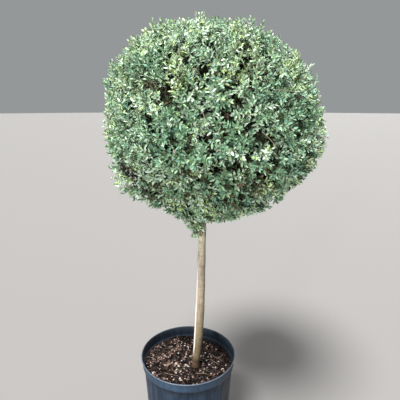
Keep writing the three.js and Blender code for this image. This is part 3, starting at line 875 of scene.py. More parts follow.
# Shoots that leave each spray a golden angle on from one another.
def shootsOf(curves, layer):
    draw = np.random.default_rng(layer["seed"] + seedsOn["shoots"])
    count, each = len(curves[0]), layer["shoots"]
    share = (shoots["first"] + shoots["span"] * (np.arange(each) / max(each - 1, 1)))[None]
    share = share + draw.uniform(-shoots["jitter"], shoots["jitter"], (count, each))
    grown = [part[:, None] for part in curves]
    start = curvePoint(grown, share)
    way = curveWay(grown, share)
    steady = unit(draw.normal(size=(count, 1, 3)))
    turn = (np.arange(each) * goldenAngle)[None] + draw.uniform(0, tau, (count, 1))
    radial = squareTo(way, steady, turn)
    splay = shoots["splay"] + draw.uniform(-shoots["splaySpread"], shoots["splaySpread"], (count, each))
    splay = np.radians(splay)[..., None]
    lean = way * np.cos(splay) + radial * np.sin(splay)
    atRoot, atTip = shoots["long"]
    long = (atRoot + (atTip - atRoot) * share)[..., None]
    long = long * draw.uniform(*shoots["longSpread"], (count, each, 1))
    bend = start + lean * long * shoots["bend"]
    end = start + lean * long * shoots["out"] + (way * shoots["on"] + up * shoots["rise"]) * long
    parent = np.repeat(np.arange(count), each)
    flat = [part.reshape(-1, 3) for part in (start, bend, end)]
    keep = (depthInCrown(flat[2]) > -shoots["over"]) & (roomToMiddle(flat[2]) > shoots["clearance"])
    return [part[keep] for part in flat], parent[keep]


# Pairs of leaves set crosswise from a shoot's tip back to where its leaves have dropped.
def leavesOn(curves, kinds, leafShare, size, seed):
    draw = np.random.default_rng(seed)
    length = curveLength(curves)
    pairs = np.maximum((length * leafShare / leaf["apart"]).astype(int), 1)
    on = np.repeat(np.arange(len(pairs)), pairs)
    pair = np.arange(len(on)) - np.repeat(np.cumsum(pairs) - pairs, pairs)
    on, pair = np.repeat(on, 2), np.repeat(pair, 2)
    side = np.tile([0, math.pi], len(on) // 2)
    share = 1 - (pair * leaf["apart"] + leaf["fromTip"]) / length[on]
    grown = [part[on] for part in curves]
    place = curvePoint(grown, share)
    way = curveWay(grown, share)
    steady = unit(draw.normal(size=(len(pairs), 3)))[on]
    turn = draw.uniform(0, tau, len(pairs))[on] + pair * math.pi / 2 + side
    turn = turn + draw.normal(size=len(on)) * leaf["turnSpread"]
    radial = squareTo(way, steady, turn)
    grownUp = np.minimum(pair / leaf["youngPairs"], 1)
    young, old = leaf["splay"]
    splay = young + (old - young) * grownUp + draw.normal(size=len(on)) * leaf["splaySpread"]
    splay = np.radians(splay)[:, None]
    along = way * np.cos(splay) + radial * np.sin(splay)
    outward = unit((place - crown["middle"]) * leaf["levelled"])
    under = smoothStep(unit(place - crown["middle"])[:, 2], *leaf["underFrom"])[:, None]
    lift, turned = (upper + (lower - upper) * under for upper, lower in (leaf["lift"], leaf["outward"]))
    facing = way * np.sin(splay) - radial * np.cos(splay) + up * lift + outward * turned
    facing = facing + draw.normal(size=facing.shape) * leaf["loose"]
    youth = leaf["youngSize"] + (1 - leaf["youngSize"]) * grownUp
    scale = youth * size * (1 + draw.uniform(-1, 1, len(on)) * leaf["spread"])
    scale = scale * (1 + leaf["largerUnder"] * under[:, 0])
    return {"place": place, "along": along, "facing": facing, "scale": scale, "kind": kinds[on]}


def kept(leaves, keep):
    return {name: values[keep] for name, values in leaves.items()}


def together(leafSets):
    return {name: np.concatenate([some[name] for some in leafSets]) for name in leafSets[0]}


# Colours dealt out by spray: each kind is a stretch of one tone from deep to bright.
leafKinds = [  # name, sRGB, share of the sprays outside the patches
    ("deep", "#587859", 0.20), ("teal", "#648974", 0.07), ("sage", "#769370", 0.27),
    ("grey", "#849b82", 0.17), ("pale", "#a3b5a1", 0.24), ("bright", "#94ab72", 0.03),
    ("olive", "#768862", 0.02),
]
loneLeaves = [("inner", "#34402a"), ("dry", "#5a4f3c")]  # old leaves inside, darkened further as painted shade, and dead ones
kindNames = [name for name, _, _ in leafKinds]
innerShadeKind, dryKind = len(leafKinds), len(leafKinds) + 1

dealing = {
    "patchPurity": 0.62,
    "drift": (0.4, 170, 61),  # of the tone over the crown: how much, mm between, seed
    "spread": 0.7,  # and from spray to spray
    # painted light: paler kinds are dealt on top, where the light falls, and underneath, against the crown's
    # shade
    "palerOnTop": 0.5,
    "palerUnder": 0.6,
    "offTone": 0.6,  # share of the leaves a tone or two off their spray's
    "dryShare": 0.004,
    "dryShareInside": 0.3,
}

# Some patches are the leaves' own tone; the deep ones round the front are partly painted shade, the pale and
# bright ones partly painted light, and those low on the front left are painted light on leaves in the crown's
# shade.
leafPatches = [  # where one kind rules: azimuth, elevation, how wide
    ("deep", 292, 11, 130), ("deep", 272, 7, 100), ("deep", 280, 13, 80), ("deep", 244, 12, 80),
    ("deep", 252, 0, 90), ("deep", 295, -21, 150), ("deep", 40, 0, 110), ("deep", 130, 5, 120),
    ("pale", 276, 32, 100), ("pale", 267, 32, 60), ("pale", 259, -14, 100), ("pale", 276, -8, 80),
    ("pale", 243, 24, 80), ("pale", 85, 15, 100), ("pale", 165, -5, 100),
    ("bright", 257, 42, 60), ("bright", 249, 35, 54), ("bright", 277, 32, 76), ("bright", 285, 34, 50),
    ("bright", 246, 26, 46), ("bright", 252, 12, 50), ("bright", 210, 4, 60), ("bright", 255, -19, 60),
    ("bright", 309, -42, 60), ("bright", 309, 39, 56), ("bright", 264, 52, 50), ("bright", 296, 18, 50),
    ("bright", 211, 56, 70), ("bright", 213, -56, 60), ("bright", 20, 40, 80), ("bright", 70, 12, 90),
    ("bright", 120, 30, 70), ("bright", 150, -20, 80), ("bright", 350, 5, 70), ("bright", 100, 60, 80),
    ("teal", 297, 25, 70), ("teal", 257, 29, 44), ("teal", 315, 30, 90), ("teal", 223, 34, 90),
    ("teal", 260, -11, 60), ("teal", 40, 20, 90), ("teal", 170, 20, 90), ("teal", 110, -20, 80),
    ("grey", 221, 27, 90), ("grey", 315, 8, 100), ("grey", 219, 18, 80), ("grey", 301, -1, 70),
    ("olive", 300, -18, 110), ("olive", 244, -8, 60), ("olive", 238, 4, 50), ("olive", 60, -25, 90),
    ("pale", 203, -22, 150), ("pale", 222, -20, 110), ("pale", 212, -34, 130), ("pale", 232, -46, 150),
    ("bright", 226, -44, 60), ("bright", 237, -50, 90), ("bright", 243, -54, 50), ("pale", 285, -34, 70),
    ("pale", 262, -30, 60),
]


def dealKinds(tips, seed):
    draw = np.random.default_rng(seed)
    ways = unit(tips - crown["middle"])
    drift, apart, driftSeed = dealing["drift"]
    tone = field(tips, apart, driftSeed) * drift + draw.normal(size=len(tips)) * dealing["spread"]
    tone = tone + dealing["palerOnTop"] * np.maximum(ways[:, 2], 0)
    tone = tone + dealing["palerUnder"] * np.maximum(-ways[:, 2], 0)
    rank = tone.argsort().argsort() / len(tips)
    limits = np.cumsum([share for _, _, share in leafKinds])
    kinds = np.searchsorted(limits, rank * limits[-1], side="right").clip(0, len(leafKinds) - 1)
    for name, azimuth, elevation, wide in leafPatches:
        caught = offWay(ways, azimuth, elevation) < wide / 2
        caught &= draw.uniform(size=len(tips)) < dealing["patchPurity"]
        kinds[caught] = kindNames.index(name)
    return kinds


# A leaf blade folded along its midrib: base, two places down each side, tip and the midrib's middle.
def leafBlade():
    outline = [(0, 0, 0), (0.46, 0.32, 0.12), (0.38, 0.7, 0.08), (0, 1, -0.1), (-0.38, 0.7, 0.08),
               (-0.46, 0.32, 0.12), (0, 0.5, -0.02)]
    return newPiece("leaf_blade", outline, [(corner, (corner + 1) % 6, 6) for corner in range(6)])


leafOnPoints = leafTree()
tubeOnLines = tubeTree()
blade = leafBlade()


def strew(name, leaves, slot, nodes, surface):
    piece = newPiece(name, leaves["place"])
    give(piece, "along", leaves["along"])
    give(piece, "facing", leaves["facing"])
    give(piece, "size", leaves["scale"][:, None] * np.array([[leaf["wide"], leaf["long"], leaf["wide"]]]))
    piece = runTree(leafOnPoints, piece, {"Leaf": blade, "Material": surface})
    print(name, len(leaves["place"]), "leaves")
    return dress(piece, slot, nodes)


# Tubes along sets of curves, each in so many steps and thinning from its foot to its tip.
def tubesAlong(name, curveSets, steps, radii, sides, surface, slot, nodes):
    points, thick, edges, first = [], [], [], 0
    share = np.linspace(0, 1, steps + 1)
    for curves in curveSets:
        count = len(curves[0])
        points.append(alongEach(curvePoint, curves, share).reshape(-1, 3))
        thick.append(np.tile(radii[0] + (radii[1] - radii[0]) * share, count))
        starts = first + (np.arange(count)[:, None] * (steps + 1) + np.arange(steps)[None]).ravel()
        edges.append(np.stack([starts, starts + 1], axis=1))
        first += count * (steps + 1)
    piece = newPiece(name, np.vstack(points), edges=np.vstack(edges).tolist())
    give(piece, "thick", np.concatenate(thick))
    piece = runTree(tubeOnLines, piece, {"Sides": sides, "Material": surface})
    print(name, sum(len(p.vertices) - 2 for p in piece.data.polygons), "triangles")
    return dress(piece, slot, nodes)


# Thin bark of the twigs, grey tan and matt, mottled every 8 mm or so.
def twigSurface(tree):
    place = addNode(tree, "ShaderNodeTexCoord").outputs["Object"]
    grain = addNode(tree, "ShaderNodeTexNoise", {"Vector": place, "Scale": 120.0, "Detail": 3.0})
    colour = addNode(tree, "ShaderNodeValToRGB", {"Fac": grain}, stops=[(0.35, "#564a3b"), (0.65, "#7e7361")])
    return addNode(tree, "ShaderNodeBsdfPrincipled", {"Base Color": colour, "Roughness": 0.8, "IOR": 1.45})


# Young shoots, faintly glossy, green or tan in stretches of about 40 mm.
def shootSurface(tree):
    place = addNode(tree, "ShaderNodeTexCoord").outputs["Object"]
    grain = addNode(tree, "ShaderNodeTexNoise", {"Vector": place, "Scale": 25.0, "Detail": 2.0})
    colour = addNode(tree, "ShaderNodeValToRGB", {"Fac": grain}, stops=[(0.4, "#636b50"), (0.6, "#7d755f")])
    return addNode(tree, "ShaderNodeBsdfPrincipled", {"Base Color": colour, "Roughness": 0.6, "IOR": 1.45})


# A few sprays past the outline at each stray twig and sprig.
def looseSprays(parents):
    rule = sprays["sprig"]
    draw = np.random.default_rng(rule["seed"])
    strays = [(azimuth, elevation, proud, rule["onStray"]) for azimuth, elevation, proud in twigs["strays"]]
    ways, reach = [], []
    for azimuth, elevation, proud, count in strays + sprays["sprigs"]:
        aside = draw.uniform(-1, 1, (count, 2)) * rule["spread"]
        across = math.cos(math.radians(elevation))
        ways += [towards(azimuth + a / across, elevation + e) for a, e in aside]
        reach += list(proud * draw.uniform(*rule["reach"], count) - rule["back"])
    ways = np.array(ways)
    return rootSprays(inCrown(ways, -np.array(reach)), ways, rule["long"], parents, draw)


# Bare pale twigs that lie over the leaves.
def bareTwigs():
    rule = sprays["bare"]
    draw = np.random.default_rng(rule["seed"])
    count = rule["count"]
    ways = unit(goldenDirections(count) + draw.normal(size=(count, 3)) * rule["scatter"])
    aside = unit(np.cross(ways, draw.normal(size=ways.shape)))
    half = aside * draw.uniform(*rule["long"], (count, 1)) / 2
    depth = draw.uniform(*rule["depth"], count)

    def onSurface(places, under):
        return inCrown(unit(places - crown["middle"]), under)

    middle = inCrown(ways, depth)
    starts = onSurface(middle - half, depth + rule["sunk"])
    ends = onSurface(middle + half, depth)
    return [starts, middle * (1 + 2 * rule["bow"]) - (starts + ends) * rule["bow"], ends]


# Short leafy shoots all down the twig that hangs beside the stem.
def hangingShoots(parents):
    rule = sprays["hanging"]
    draw = np.random.default_rng(rule["seed"])
    share = np.linspace(rule["from"], 1, rule["shoots"])
    roots = alongEach(curvePoint, hangingTwigs(parents), share).reshape(-1, 3)
    ways = unit(draw.normal(size=roots.shape) * rule["strewn"] + rule["drawn"])
    tips = roots + ways * draw.uniform(*rule["long"], (len(roots), 1))
    return [roots, (roots + tips) / 2 - up * rule["sag"], tips]


def hangingTwigs(parents):
    return [part[-len(twigs["hangingTips"]):] for part in parents]


# Painted shade: underneath, the middle sprays behind the outer ones get the dark inner leaves.
def shadedUnderneath(tips):
    dark = sprays["darkUnder"]
    low = unit(tips - crown["middle"])[:, 2] < dark["from"]
    return low & (field(tips, dark["apart"], dark["seed"]) < dark["share"])


def growLayers(main):
    leafSets, sprayCurves, shootCurves = [], [], []
    for layer in sprays["layers"]:
        seed = layer["seed"]
        grown = layerOfSprays(layer, main)
        kinds = dealKinds(grown[2], seed + seedsOn["kinds"])
        # painted shade: the middle sprays underneath, and all inner and core sprays, get the dark inner kind
        if layer["name"] == "middle":
            kinds[shadedUnderneath(grown[2])] = innerShadeKind
        if layer["name"] in ("inner", "core"):
            kinds[:] = innerShadeKind
        young, parent = shootsOf(grown, layer)
        leafSets.append(leavesOn(grown, kinds, sprays["leaves"], layer["leaf"], seed + seedsOn["leaves"]))
        leafSets.append(leavesOn(young, kinds[parent], shoots["leaves"], layer["leaf"],
                                 seed + seedsOn["shootLeaves"]))
        sprayCurves.append(grown)
        shootCurves.append(young)
    leaves = together(leafSets)
    ends = leaves["place"] + leaves["along"] * (leaves["scale"] * leaf["long"])[:, None]
    inside = (depthInCrown(ends) > -leaf["over"]) & (roomToMiddle(ends) > leaf["clearance"])
    return kept(leaves, inside), sprayCurves, shootCurves


# Leaves of the sprays and shoots that the shears missed, none darker than the kind named: the hanging ones no
# darker than pale, as painted light on leaves in the crown's shade.
def growLoose(main, sprigs, hangingOnes):
    size = sprays["hanging"]["leaf"]
    leafSets = []
    for name, curves, leafShare, darkest, leafSize in (
            ("sprigs", sprigs, shoots["leaves"], "deep", 1.0),
            ("hangingShoots", hangingOnes, shoots["leaves"], "pale", size),
            ("hangingTwigs", hangingTwigs(main), sprays["leaves"], "pale", size)):
        kinds = np.maximum(dealKinds(curves[2], seedsApart[name]), kindNames.index(darkest))
        leafSets.append(leavesOn(curves, kinds, leafShare, leafSize, seedsApart[name]))
    return leafSets


# Some leaves are a tone or two off their spray's, and a few are dead.
def strayTones(leaves):
    draw = np.random.default_rng(seedsApart["tones"])
    kind = leaves["kind"]
    strayed = draw.uniform(size=len(kind)) < dealing["offTone"]
    step = np.where(strayed, draw.choice([-2, -1, 1, 2], len(kind)), 0)
    outer = kind < innerShadeKind
    kind = np.where(outer, (kind + step).clip(0, innerShadeKind - 1), kind)
    dryShare = np.where(outer, dealing["dryShare"], dealing["dryShareInside"])
    dry = draw.uniform(size=len(kind)) < dryShare
    return {**leaves, "kind": np.where(dry, dryKind, kind)}


main = mainTwigs()
layerLeaves, sprayCurves, shootCurves = growLayers(main)
sprigs, hangingOnes = looseSprays(main), hangingShoots(main)
leaves = strayTones(together([layerLeaves] + growLoose(main, sprigs, hangingOnes)))

# A small leathery leaf with a waxy bloom: plain colour, broad soft sheen.
leafColours = [(name, colour) for name, colour, _ in leafKinds] + loneLeaves
for number, (name, colour) in enumerate(leafColours):
    surface = newMaterial("leathery leaf, " + name, plainSurface(colour, 0.4, 1.45))
    strew("leaves_" + name, kept(leaves, leaves["kind"] == number), "leaf", foliageNodes, surface)

twigBark = newMaterial("twig bark, thin", twigSurface)
paleTwig = newMaterial("bare twig, silvery", plainSurface("#817967", 0.8, 1.45))  # dead wood, matt
shootSkin = newMaterial("young shoot, green to tan", shootSurface)
for name, curveSets, steps, radii, sides, surface, slot in (
        ("twigs_main", [main], 10, twigs["radii"], 6, twigBark, "bough_bark"),
        ("twigs_fine", sprayCurves + [sprigs, hangingOnes], 6, sprays["radii"], 3, twigBark, "bough_bark"),
        ("twigs_bare", [bareTwigs()], 8, sprays["bare"]["radii"], 4, paleTwig, "bough_bark"),
        ("shoots_young", shootCurves, 2, shoots["radii"], 3, shootSkin, "leaf")):
    tubesAlong(name, curveSets, steps, radii, sides, surface, slot, foliageNodes)
bpy.data.objects.remove(blade)
print("foliage made")


# Pot

pot = {
    "height": 400,
    "topRadius": 215,
    "footRadius": 175,
    "wall": 3,
    "footRound": 2,
    "band": {"high": 46, "step": 6, "shoulder": 3},
    "lip": {"high": 6, "thick": 5, "proud": 3},
    "flutes": {"count": 28, "deep": 2.2, "foot": 32, "fade": 6, "runOut": 4, "belowBand": 16},
    "drains": {"count": 14, "wide": 20, "deep": 11, "high": 12, "squareness": 4},
    "lowRows": (0, 2, 6, 12, 18, 24, 28, 32, 36),  # bent over the drains, less the higher they lie
    "wallRows": (44, 26),  # over those: the height of the first one, and how many up to the flutes' heads
    "innerRows": (40, 14),
    "innerLowRows": (32, 20, 10, 0),
    "lipRows": (-65, 200, 12),  # degrees round the lip's bead from and to, and how many
    "columns": 560,
    "floor": {"inset": 1.2, "notchedFrom": 0.3},  # from the wall, and where in a drain's arch it is cut
    "oval": {"deep": 3.5, "from": 40, "uneven": 0.2, "turned": 2},  # the soft rim, squeezed in from its sides
    "creaseAngle": 40,
}


def potWall(height):
    top = pot["topRadius"] - pot["band"]["step"] - pot["lip"]["proud"]
    return pot["footRadius"] + (top - pot["footRadius"]) * height / pot["height"]


# How far the soft wall stands out of round at each angle.
def squeeze(angles, height):
    oval = pot["oval"]
    loosened = smoothStep(height, oval["from"], pot["height"])
    uneven = oval["uneven"] * np.cos(3 * angles + oval["turned"])
    return -oval["deep"] * loosened * (np.cos(2 * angles) + uneven)


# The share of a notch at each angle: 0 between the drains, 1 across the flat of an arch.
def archShare(angles):
    drains = pot["drains"]
    pitch = tau / drains["count"]
    off = (angles % pitch) - pitch / 2
    across = np.abs(off) * pot["footRadius"] / (drains["wide"] / 2)
    return np.where(across < 1, np.sqrt(np.clip(1 - across ** drains["squareness"], 0, 1)), 0)


# The wall's profile as rows of (radius, height): up the outside, over the lip and down the inside.
def potRows():
    band, lip = pot["band"], pot["lip"]
    bandFoot = pot["height"] - band["high"]
    lipFoot = pot["height"] - lip["high"]
    flutes, wallHead = pot["flutes"], potWall(bandFoot)
    fluteHead = bandFoot - flutes["belowBand"]
    lowest, count = pot["wallRows"]
    outer = [(potWall(h) - (pot["footRound"] if h == 0 else 0), h) for h in pot["lowRows"]]
    outer += [(potWall(h), h) for h in np.linspace(lowest, fluteHead, count)]
    outer += [(potWall(h), h) for h in np.linspace(fluteHead + flutes["runOut"], bandFoot, 4)]
    # the band's shoulder is a quarter round, and its side leans out to under the lip
    outer += [(wallHead + band["step"] * s, bandFoot + band["shoulder"] * (1 - math.cos(s * tau / 4)))
              for s in (0.35, 0.7, 0.92)]
    foot, head = wallHead + band["step"], pot["topRadius"] - lip["proud"]
    sideFoot, sideHead = bandFoot + band["shoulder"] + 1, lipFoot - 1
    outer += [(foot + 0.3, sideFoot)]
    outer += [(foot + (head - foot) * s, sideFoot + (sideHead - sideFoot) * s) for s in (0.3, 0.6, 0.9, 1.0)]
    middle = pot["topRadius"] - lip["thick"] / 2
    bead = [(middle + lip["thick"] / 2 * math.cos(a), lipFoot + lip["high"] / 2 * (1 + math.sin(a)))
            for a in np.radians(np.linspace(*pot["lipRows"]))]
    inner = [(potWall(h) - pot["wall"] + band["step"], h) for h in np.linspace(lipFoot - 2, sideFoot, 4)]
    inner += [(wallHead - pot["wall"] + 1, bandFoot)]
    lowest, count = pot["innerRows"]
    inner += [(potWall(h) - pot["wall"], h)
              for h in (*np.linspace(bandFoot - 4, lowest, count), *pot["innerLowRows"])]
    return np.array(outer), np.array(bead), np.array(inner)


def makePot():
    outer, bead, inner = potRows()
    profile = np.vstack([outer, bead, inner])
    radius, height = profile[:, 0][:, None], profile[:, 1][:, None]
    rows, columns = len(profile), pot["columns"]
    angles = roundAngles(columns)
    flutes, drains = pot["flutes"], pot["drains"]
    bandFoot = pot["height"] - pot["band"]["high"]
    fluted = smoothStep(height, flutes["foot"] - flutes["fade"], flutes["foot"] + flutes["runOut"])
    fluted = fluted * (1 - smoothStep(height, bandFoot - flutes["belowBand"], bandFoot - flutes["runOut"]))
    drawnIn = flutes["deep"] * (0.5 - 0.5 * np.cos(flutes["count"] * angles[None])) * fluted
    bulged = radius - drawnIn + squeeze(angles[None], height)
    arch = drains["high"] * archShare(angles[None])
    low = float(pot["lowRows"][-1])
    lifted = np.where(height < low, arch + height * (low - arch) / low, height + 0 * angles[None])
    wall = np.stack([bulged * np.cos(angles), bulged * np.sin(angles), lifted], axis=-1).reshape(-1, 3)
    faces = roundGrid(rows, columns)
    last = (rows - 1) * columns
    faces += [(last + j, last + (j + 1) % columns, (j + 1) % columns, j) for j in range(columns)]
    # the floor, notched where the drains are
    notched = archShare(angles) > pot["floor"]["notchedFrom"]
    edge = potWall(0) - pot["floor"]["inset"] - drains["deep"] * notched
    ring = [edge * np.cos(angles), edge * np.sin(angles)]
    floors = [np.column_stack([*ring, np.full(columns, level)]) for level in (0.0, float(pot["wall"]))]
    faces += cappedGrid(2, columns, len(wall))
    points = np.vstack([wall, *floors])
    piece = newPiece("pot_shell", points, faces)
    inside = np.zeros(len(points))
    inside[(len(outer) + len(bead) // 2) * columns:rows * columns] = 1
    give(piece, "inside", inside)
    setSmooth(piece, pot["creaseAngle"])
    return piece


# Blue-black polypropylene, injection moulded: satin, clouded every 60 mm or so, dusty towards the
# ground, scuffed pale on the band, rubbed pale along the lip with a painted highlight there, and painted
# shade under the band and inside.
def potSurface(tree):
    place = addNode(tree, "ShaderNodeTexCoord").outputs["Object"]
    height = addNode(tree, "ShaderNodeSeparateXYZ", {"Vector": place}).outputs["Z"]
    cloud = addNode(tree, "ShaderNodeTexNoise", {
        "Vector": place, "Scale": 16.0, "Detail": 6.0, "Roughness": 0.62})
    base = addNode(tree, "ShaderNodeValToRGB", {"Fac": cloud}, stops=[
        (0.3, "#020e1b"), (0.55, "#071a2c"), (0.75, "#13293d")])
    # dust thins out from the ground up and hangs in runs 17 mm wide and 140 mm long
    tall = addNode(tree, "ShaderNodeMapping", {"Vector": place, "Scale": (1, 1, 0.12)})
    runs = addNode(tree, "ShaderNodeTexNoise", {"Vector": tall, "Scale": 60.0, "Detail": 4.0})
    low = addNode(tree, "ShaderNodeMapRange", {
        "Value": height, "From Min": 0.0, "From Max": 0.26, "To Min": 0.6, "To Max": 0.3})
    grip = addNode(tree, "ShaderNodeMapRange", {"Value": runs, "From Min": 0.43, "From Max": 0.64})
    dust = addNode(tree, "ShaderNodeMath", {0: low, 1: grip}, operation="MULTIPLY")
    dusty = addNode(tree, "ShaderNodeMix", {
        "Factor": dust, colourA: base, colourB: linear("#384553")}, **blended)
    # the band and lip are scuffed and paler on the outside
    inside = addNode(tree, "ShaderNodeAttribute", attribute_name="inside").outputs["Fac"]
    outside = addNode(tree, "ShaderNodeMath", {0: 1.0, 1: inside}, operation="SUBTRACT")
    band = addNode(tree, "ShaderNodeMapRange", {
        "Value": height, "From Min": 0.356, "From Max": 0.362, "To Min": 0.0, "To Max": 0.5})
    blotchy = addNode(tree, "ShaderNodeMapRange", {
        "Value": cloud, "From Min": 0.3, "From Max": 0.7, "To Min": 0.6, "To Max": 1.4})
    scuffed = addNode(tree, "ShaderNodeMath", {0: band, 1: blotchy}, operation="MULTIPLY")
    high = addNode(tree, "ShaderNodeMath", {0: scuffed, 1: outside}, operation="MULTIPLY")
    banded = addNode(tree, "ShaderNodeMix", {
        "Factor": high, colourA: dusty, colourB: linear("#2a3d50")}, **blended)
    # the lip is rubbed pale in patches of some 20 mm, partly wear and partly a painted highlight along its
    # bead
    lip = addNode(tree, "ShaderNodeMapRange", {
        "Value": height, "From Min": 0.3945, "From Max": 0.3975, "To Min": 0.0, "To Max": 0.42})
    rub = addNode(tree, "ShaderNodeTexNoise", {"Vector": place, "Scale": 45.0, "Detail": 4.0})
    rubAndHighlight = addNode(tree, "ShaderNodeMath", {0: lip, 1: rub}, operation="MULTIPLY")
    rubAndHighlightMore = addNode(tree, "ShaderNodeMath", {0: rubAndHighlight, 1: 1.7}, operation="MULTIPLY", use_clamp=True)
    colour = addNode(tree, "ShaderNodeMix", {
        "Factor": rubAndHighlightMore, colourA: banded, colourB: linear("#6a717c")}, **blended)
    # painted shade: darker under the band and all over the inside, where shade falls
    under = addNode(tree, "ShaderNodeMapRange", {
        "Value": height, "From Min": 0.32, "From Max": 0.35, "To Min": 0.0, "To Max": 0.6})
    belowBand = addNode(tree, "ShaderNodeMath", {0: height, 1: 0.3545}, operation="LESS_THAN")
    ring = addNode(tree, "ShaderNodeMath", {0: under, 1: belowBand}, operation="MULTIPLY")
    paintedShade = addNode(tree, "ShaderNodeMath", {0: inside, 1: 0.62, 2: ring}, operation="MULTIPLY_ADD",
                     use_clamp=True)
    shaded = addNode(tree, "ShaderNodeMix", {
        "Factor": paintedShade, colourA: colour, colourB: linear("#020c14")}, **blended)
    rough = addNode(tree, "ShaderNodeMapRange", {
        "Value": cloud, "From Min": 0.3, "From Max": 0.7, "To Min": 0.36, "To Max": 0.6})
    dull = addNode(tree, "ShaderNodeMath", {0: inside, 1: 0.3, 2: rough}, operation="MULTIPLY_ADD")
    # the mould's grain, drawn 3 mm coarse so that it shows
    fine = addNode(tree, "ShaderNodeTexNoise", {"Vector": place, "Scale": 320.0, "Detail": 2.0})
    bump = addNode(tree, "ShaderNodeBump", {"Height": fine, "Strength": 0.15, "Distance": 0.0006})
    return addNode(tree, "ShaderNodeBsdfPrincipled", {
        "Base Color": shaded, "Roughness": dull, "IOR": 1.49, "Specular IOR Level": 0.36, "Normal": bump})


dress(makePot(), "pot_plastic", ["pot"], newMaterial("moulded polypropylene, blue-black", potSurface))
print("pot made")


# Potting mix

mix = {
    "level": 345,
    "dropAtWall": 3,
    "lump": 5,
    "lumpApart": 70,
    "grain": 1.3,
    "grains": [(1, 11, 81), (0.7, 4.95, 82)],  # coarse and fine: share, mm between, seed
    "grainSink": 0.4,
    "grainAtStem": 0.35,  # share of the grain left close to the stem
    "footMargin": 4,
    "settling": 10,
    "heap": {"towards": 140, "high": 20, "from": 0.15},  # watered up against the pot's back and left
    "clear": 0.3,  # between it and the pot's floor and the stem's foot
    "offWall": 1,
    "overDrains": 6,  # how far inside the wall's outer face its ledge ends
    "looseTop": 12,  # the layer that carries the lumps and chips
    "rings": 64,
    "columns": 240,
}

chips = [  # sRGB of each chip from and to, mm of size, per square metre, where, smallest and largest
    {"name": "dark", "colours": ("#070403", "#242021"), "size": (17, 11, 6), "density": 5600,
     "where": "all", "range": (0.5, 1.4), "tilt": 0.5, "seed": 3},
    {"name": "brown", "colours": ("#120b09", "#35261f"), "size": (15, 11, 6), "density": 5600,
     "where": "pale", "range": (0.5, 1.3), "tilt": 0.7, "seed": 7},
    {"name": "tan", "colours": ("#3c2c27", "#735f56"), "size": (14, 10, 7), "density": 3000,
     "where": "pale", "range": (0.5, 1.3), "tilt": 0.8, "seed": 4},
    {"name": "pale", "colours": ("#75685f", "#aa9d93"), "size": (12, 9, 7), "density": 2100,
     "where": "pale", "range": (0.5, 1.25), "tilt": 0.9, "seed": 5},
    {"name": "white", "colours": ("#96918b", "#aeaca7"), "size": (11, 8, 7), "density": 240,
     "where": "pale", "range": (0.6, 1.3), "tilt": 0.9, "seed": 6},
    {"name": "moss", "colours": ("#1f241a", "#4a5440"), "size": (8, 6, 5), "density": 16000,
     "where": "moss", "range": (0.5, 1.3), "tilt": 1.2, "seed": 8},
]

chipPlaces = {
    "fromWall": 14,
    "fromStem": 4,
    "patchy": (0.75, 0.5, 60, 91),  # share of the pale chips, how far it comes and goes, mm between, seed
    "patchyLimits": (0.15, 1.3),
    # painted shade: fewer pale chips on the right, the mix's shaded side
    "fewerRight": {"share": 0.68, "way": (0.9, -0.35), "from": (-20, 100)},
    "fewerInFront": {"share": 0.3, "from": (60, 150)},
    "mossCore": 0.2,  # of a tuft's width: out to here the moss is as thick as in its middle
}

mossTufts = [  # x, y, how wide
    (-32, -47, 42), (-115, 93, 34), (-147, 78, 26), (18, -78, 24), (84, -54, 22), (120, 90, 40),
    (40, 130, 30),
]

straws = {
    "count": 11,
    "long": (22, 60),
    "radii": (0.8, 0.5),
    "lift": (4, 8),
    "fromWall": 16,
    "out": (0.08, 0.75),  # from the middle of the pot, as shares of its area
    "crooked": 4,
    "seed": 92,
}


# The stem's foot in the mix: its middle and its radius.
def stemFoot():
    return stemAt(np.array(mix["level"] + mix["clear"])), stem["radii"][0][1]


def mixHeight(x, y, edge):
    foot, radius = stemFoot()
    off = np.hypot(x - foot[0], y - foot[1])
    footRound = radius + mix["footMargin"]
    share = np.clip((off - footRound) / (edge - footRound), 0, 1)
    places = np.stack([x, y, np.full_like(x, mix["level"])], axis=-1)
    sunk = (1 - unevenness(places, mix["lumpApart"])) / 2
    settled = smoothStep(off, footRound, footRound + mix["settling"])
    grain = sum(part * field(places, apart, seed) for part, apart, seed in mix["grains"])
    heap = towards(mix["heap"]["towards"], 0)
    back = (x * heap[0] + y * heap[1]) / edge
    height = mix["level"] - mix["dropAtWall"] * share - mix["lump"] * sunk * settled
    height = height + mix["heap"]["high"] * smoothStep(back, mix["heap"]["from"], 1)
    nearStem = mix["grainAtStem"] + (1 - mix["grainAtStem"]) * settled
    return height + (grain - mix["grainSink"]) * mix["grain"] * nearStem


def makeMix():
    columns, rings = mix["columns"], mix["rings"]
    angles = roundAngles(columns)
    bottom = pot["wall"] + mix["clear"]
    overDrains = pot["drains"]["high"] + mix["clear"]
    under = pot["footRadius"] - pot["drains"]["deep"] - mix["clear"]
    rim = potWall(mix["level"]) - pot["wall"] - mix["offWall"]
    ledge = potWall(pot["drains"]["high"]) - mix["overDrains"]
    rows = [(under, bottom), (under, overDrains), (ledge, overDrains), (rim, mix["level"] - mix["looseTop"])]
    points = [[r * math.cos(a), r * math.sin(a), h] for wide, h in rows
              for a, r in zip(angles, wide + squeeze(angles, h))]
    inward = 1 - np.arange(rings)[:, None] / rings
    radii = (rim + squeeze(angles, mix["level"]))[None] * inward
    x, y = radii * np.cos(angles)[None], radii * np.sin(angles)[None]
    top = np.stack([x, y, mixHeight(x, y, rim)], axis=-1).reshape(-1, 3)
    middle = [[0, 0, float(mixHeight(np.array(0.0), np.array(0.0), rim))]]
    rowCount = len(rows) + rings
    last, centre = (rowCount - 1) * columns, rowCount * columns
    faces = roundGrid(rowCount, columns)
    faces.append(range(columns - 1, -1, -1))
    faces += [(last + j, last + (j + 1) % columns, centre) for j in range(columns)]
    piece = newPiece("mix_bed", np.vstack([points, top, middle]), faces)
    setSmooth(piece)
    return piece


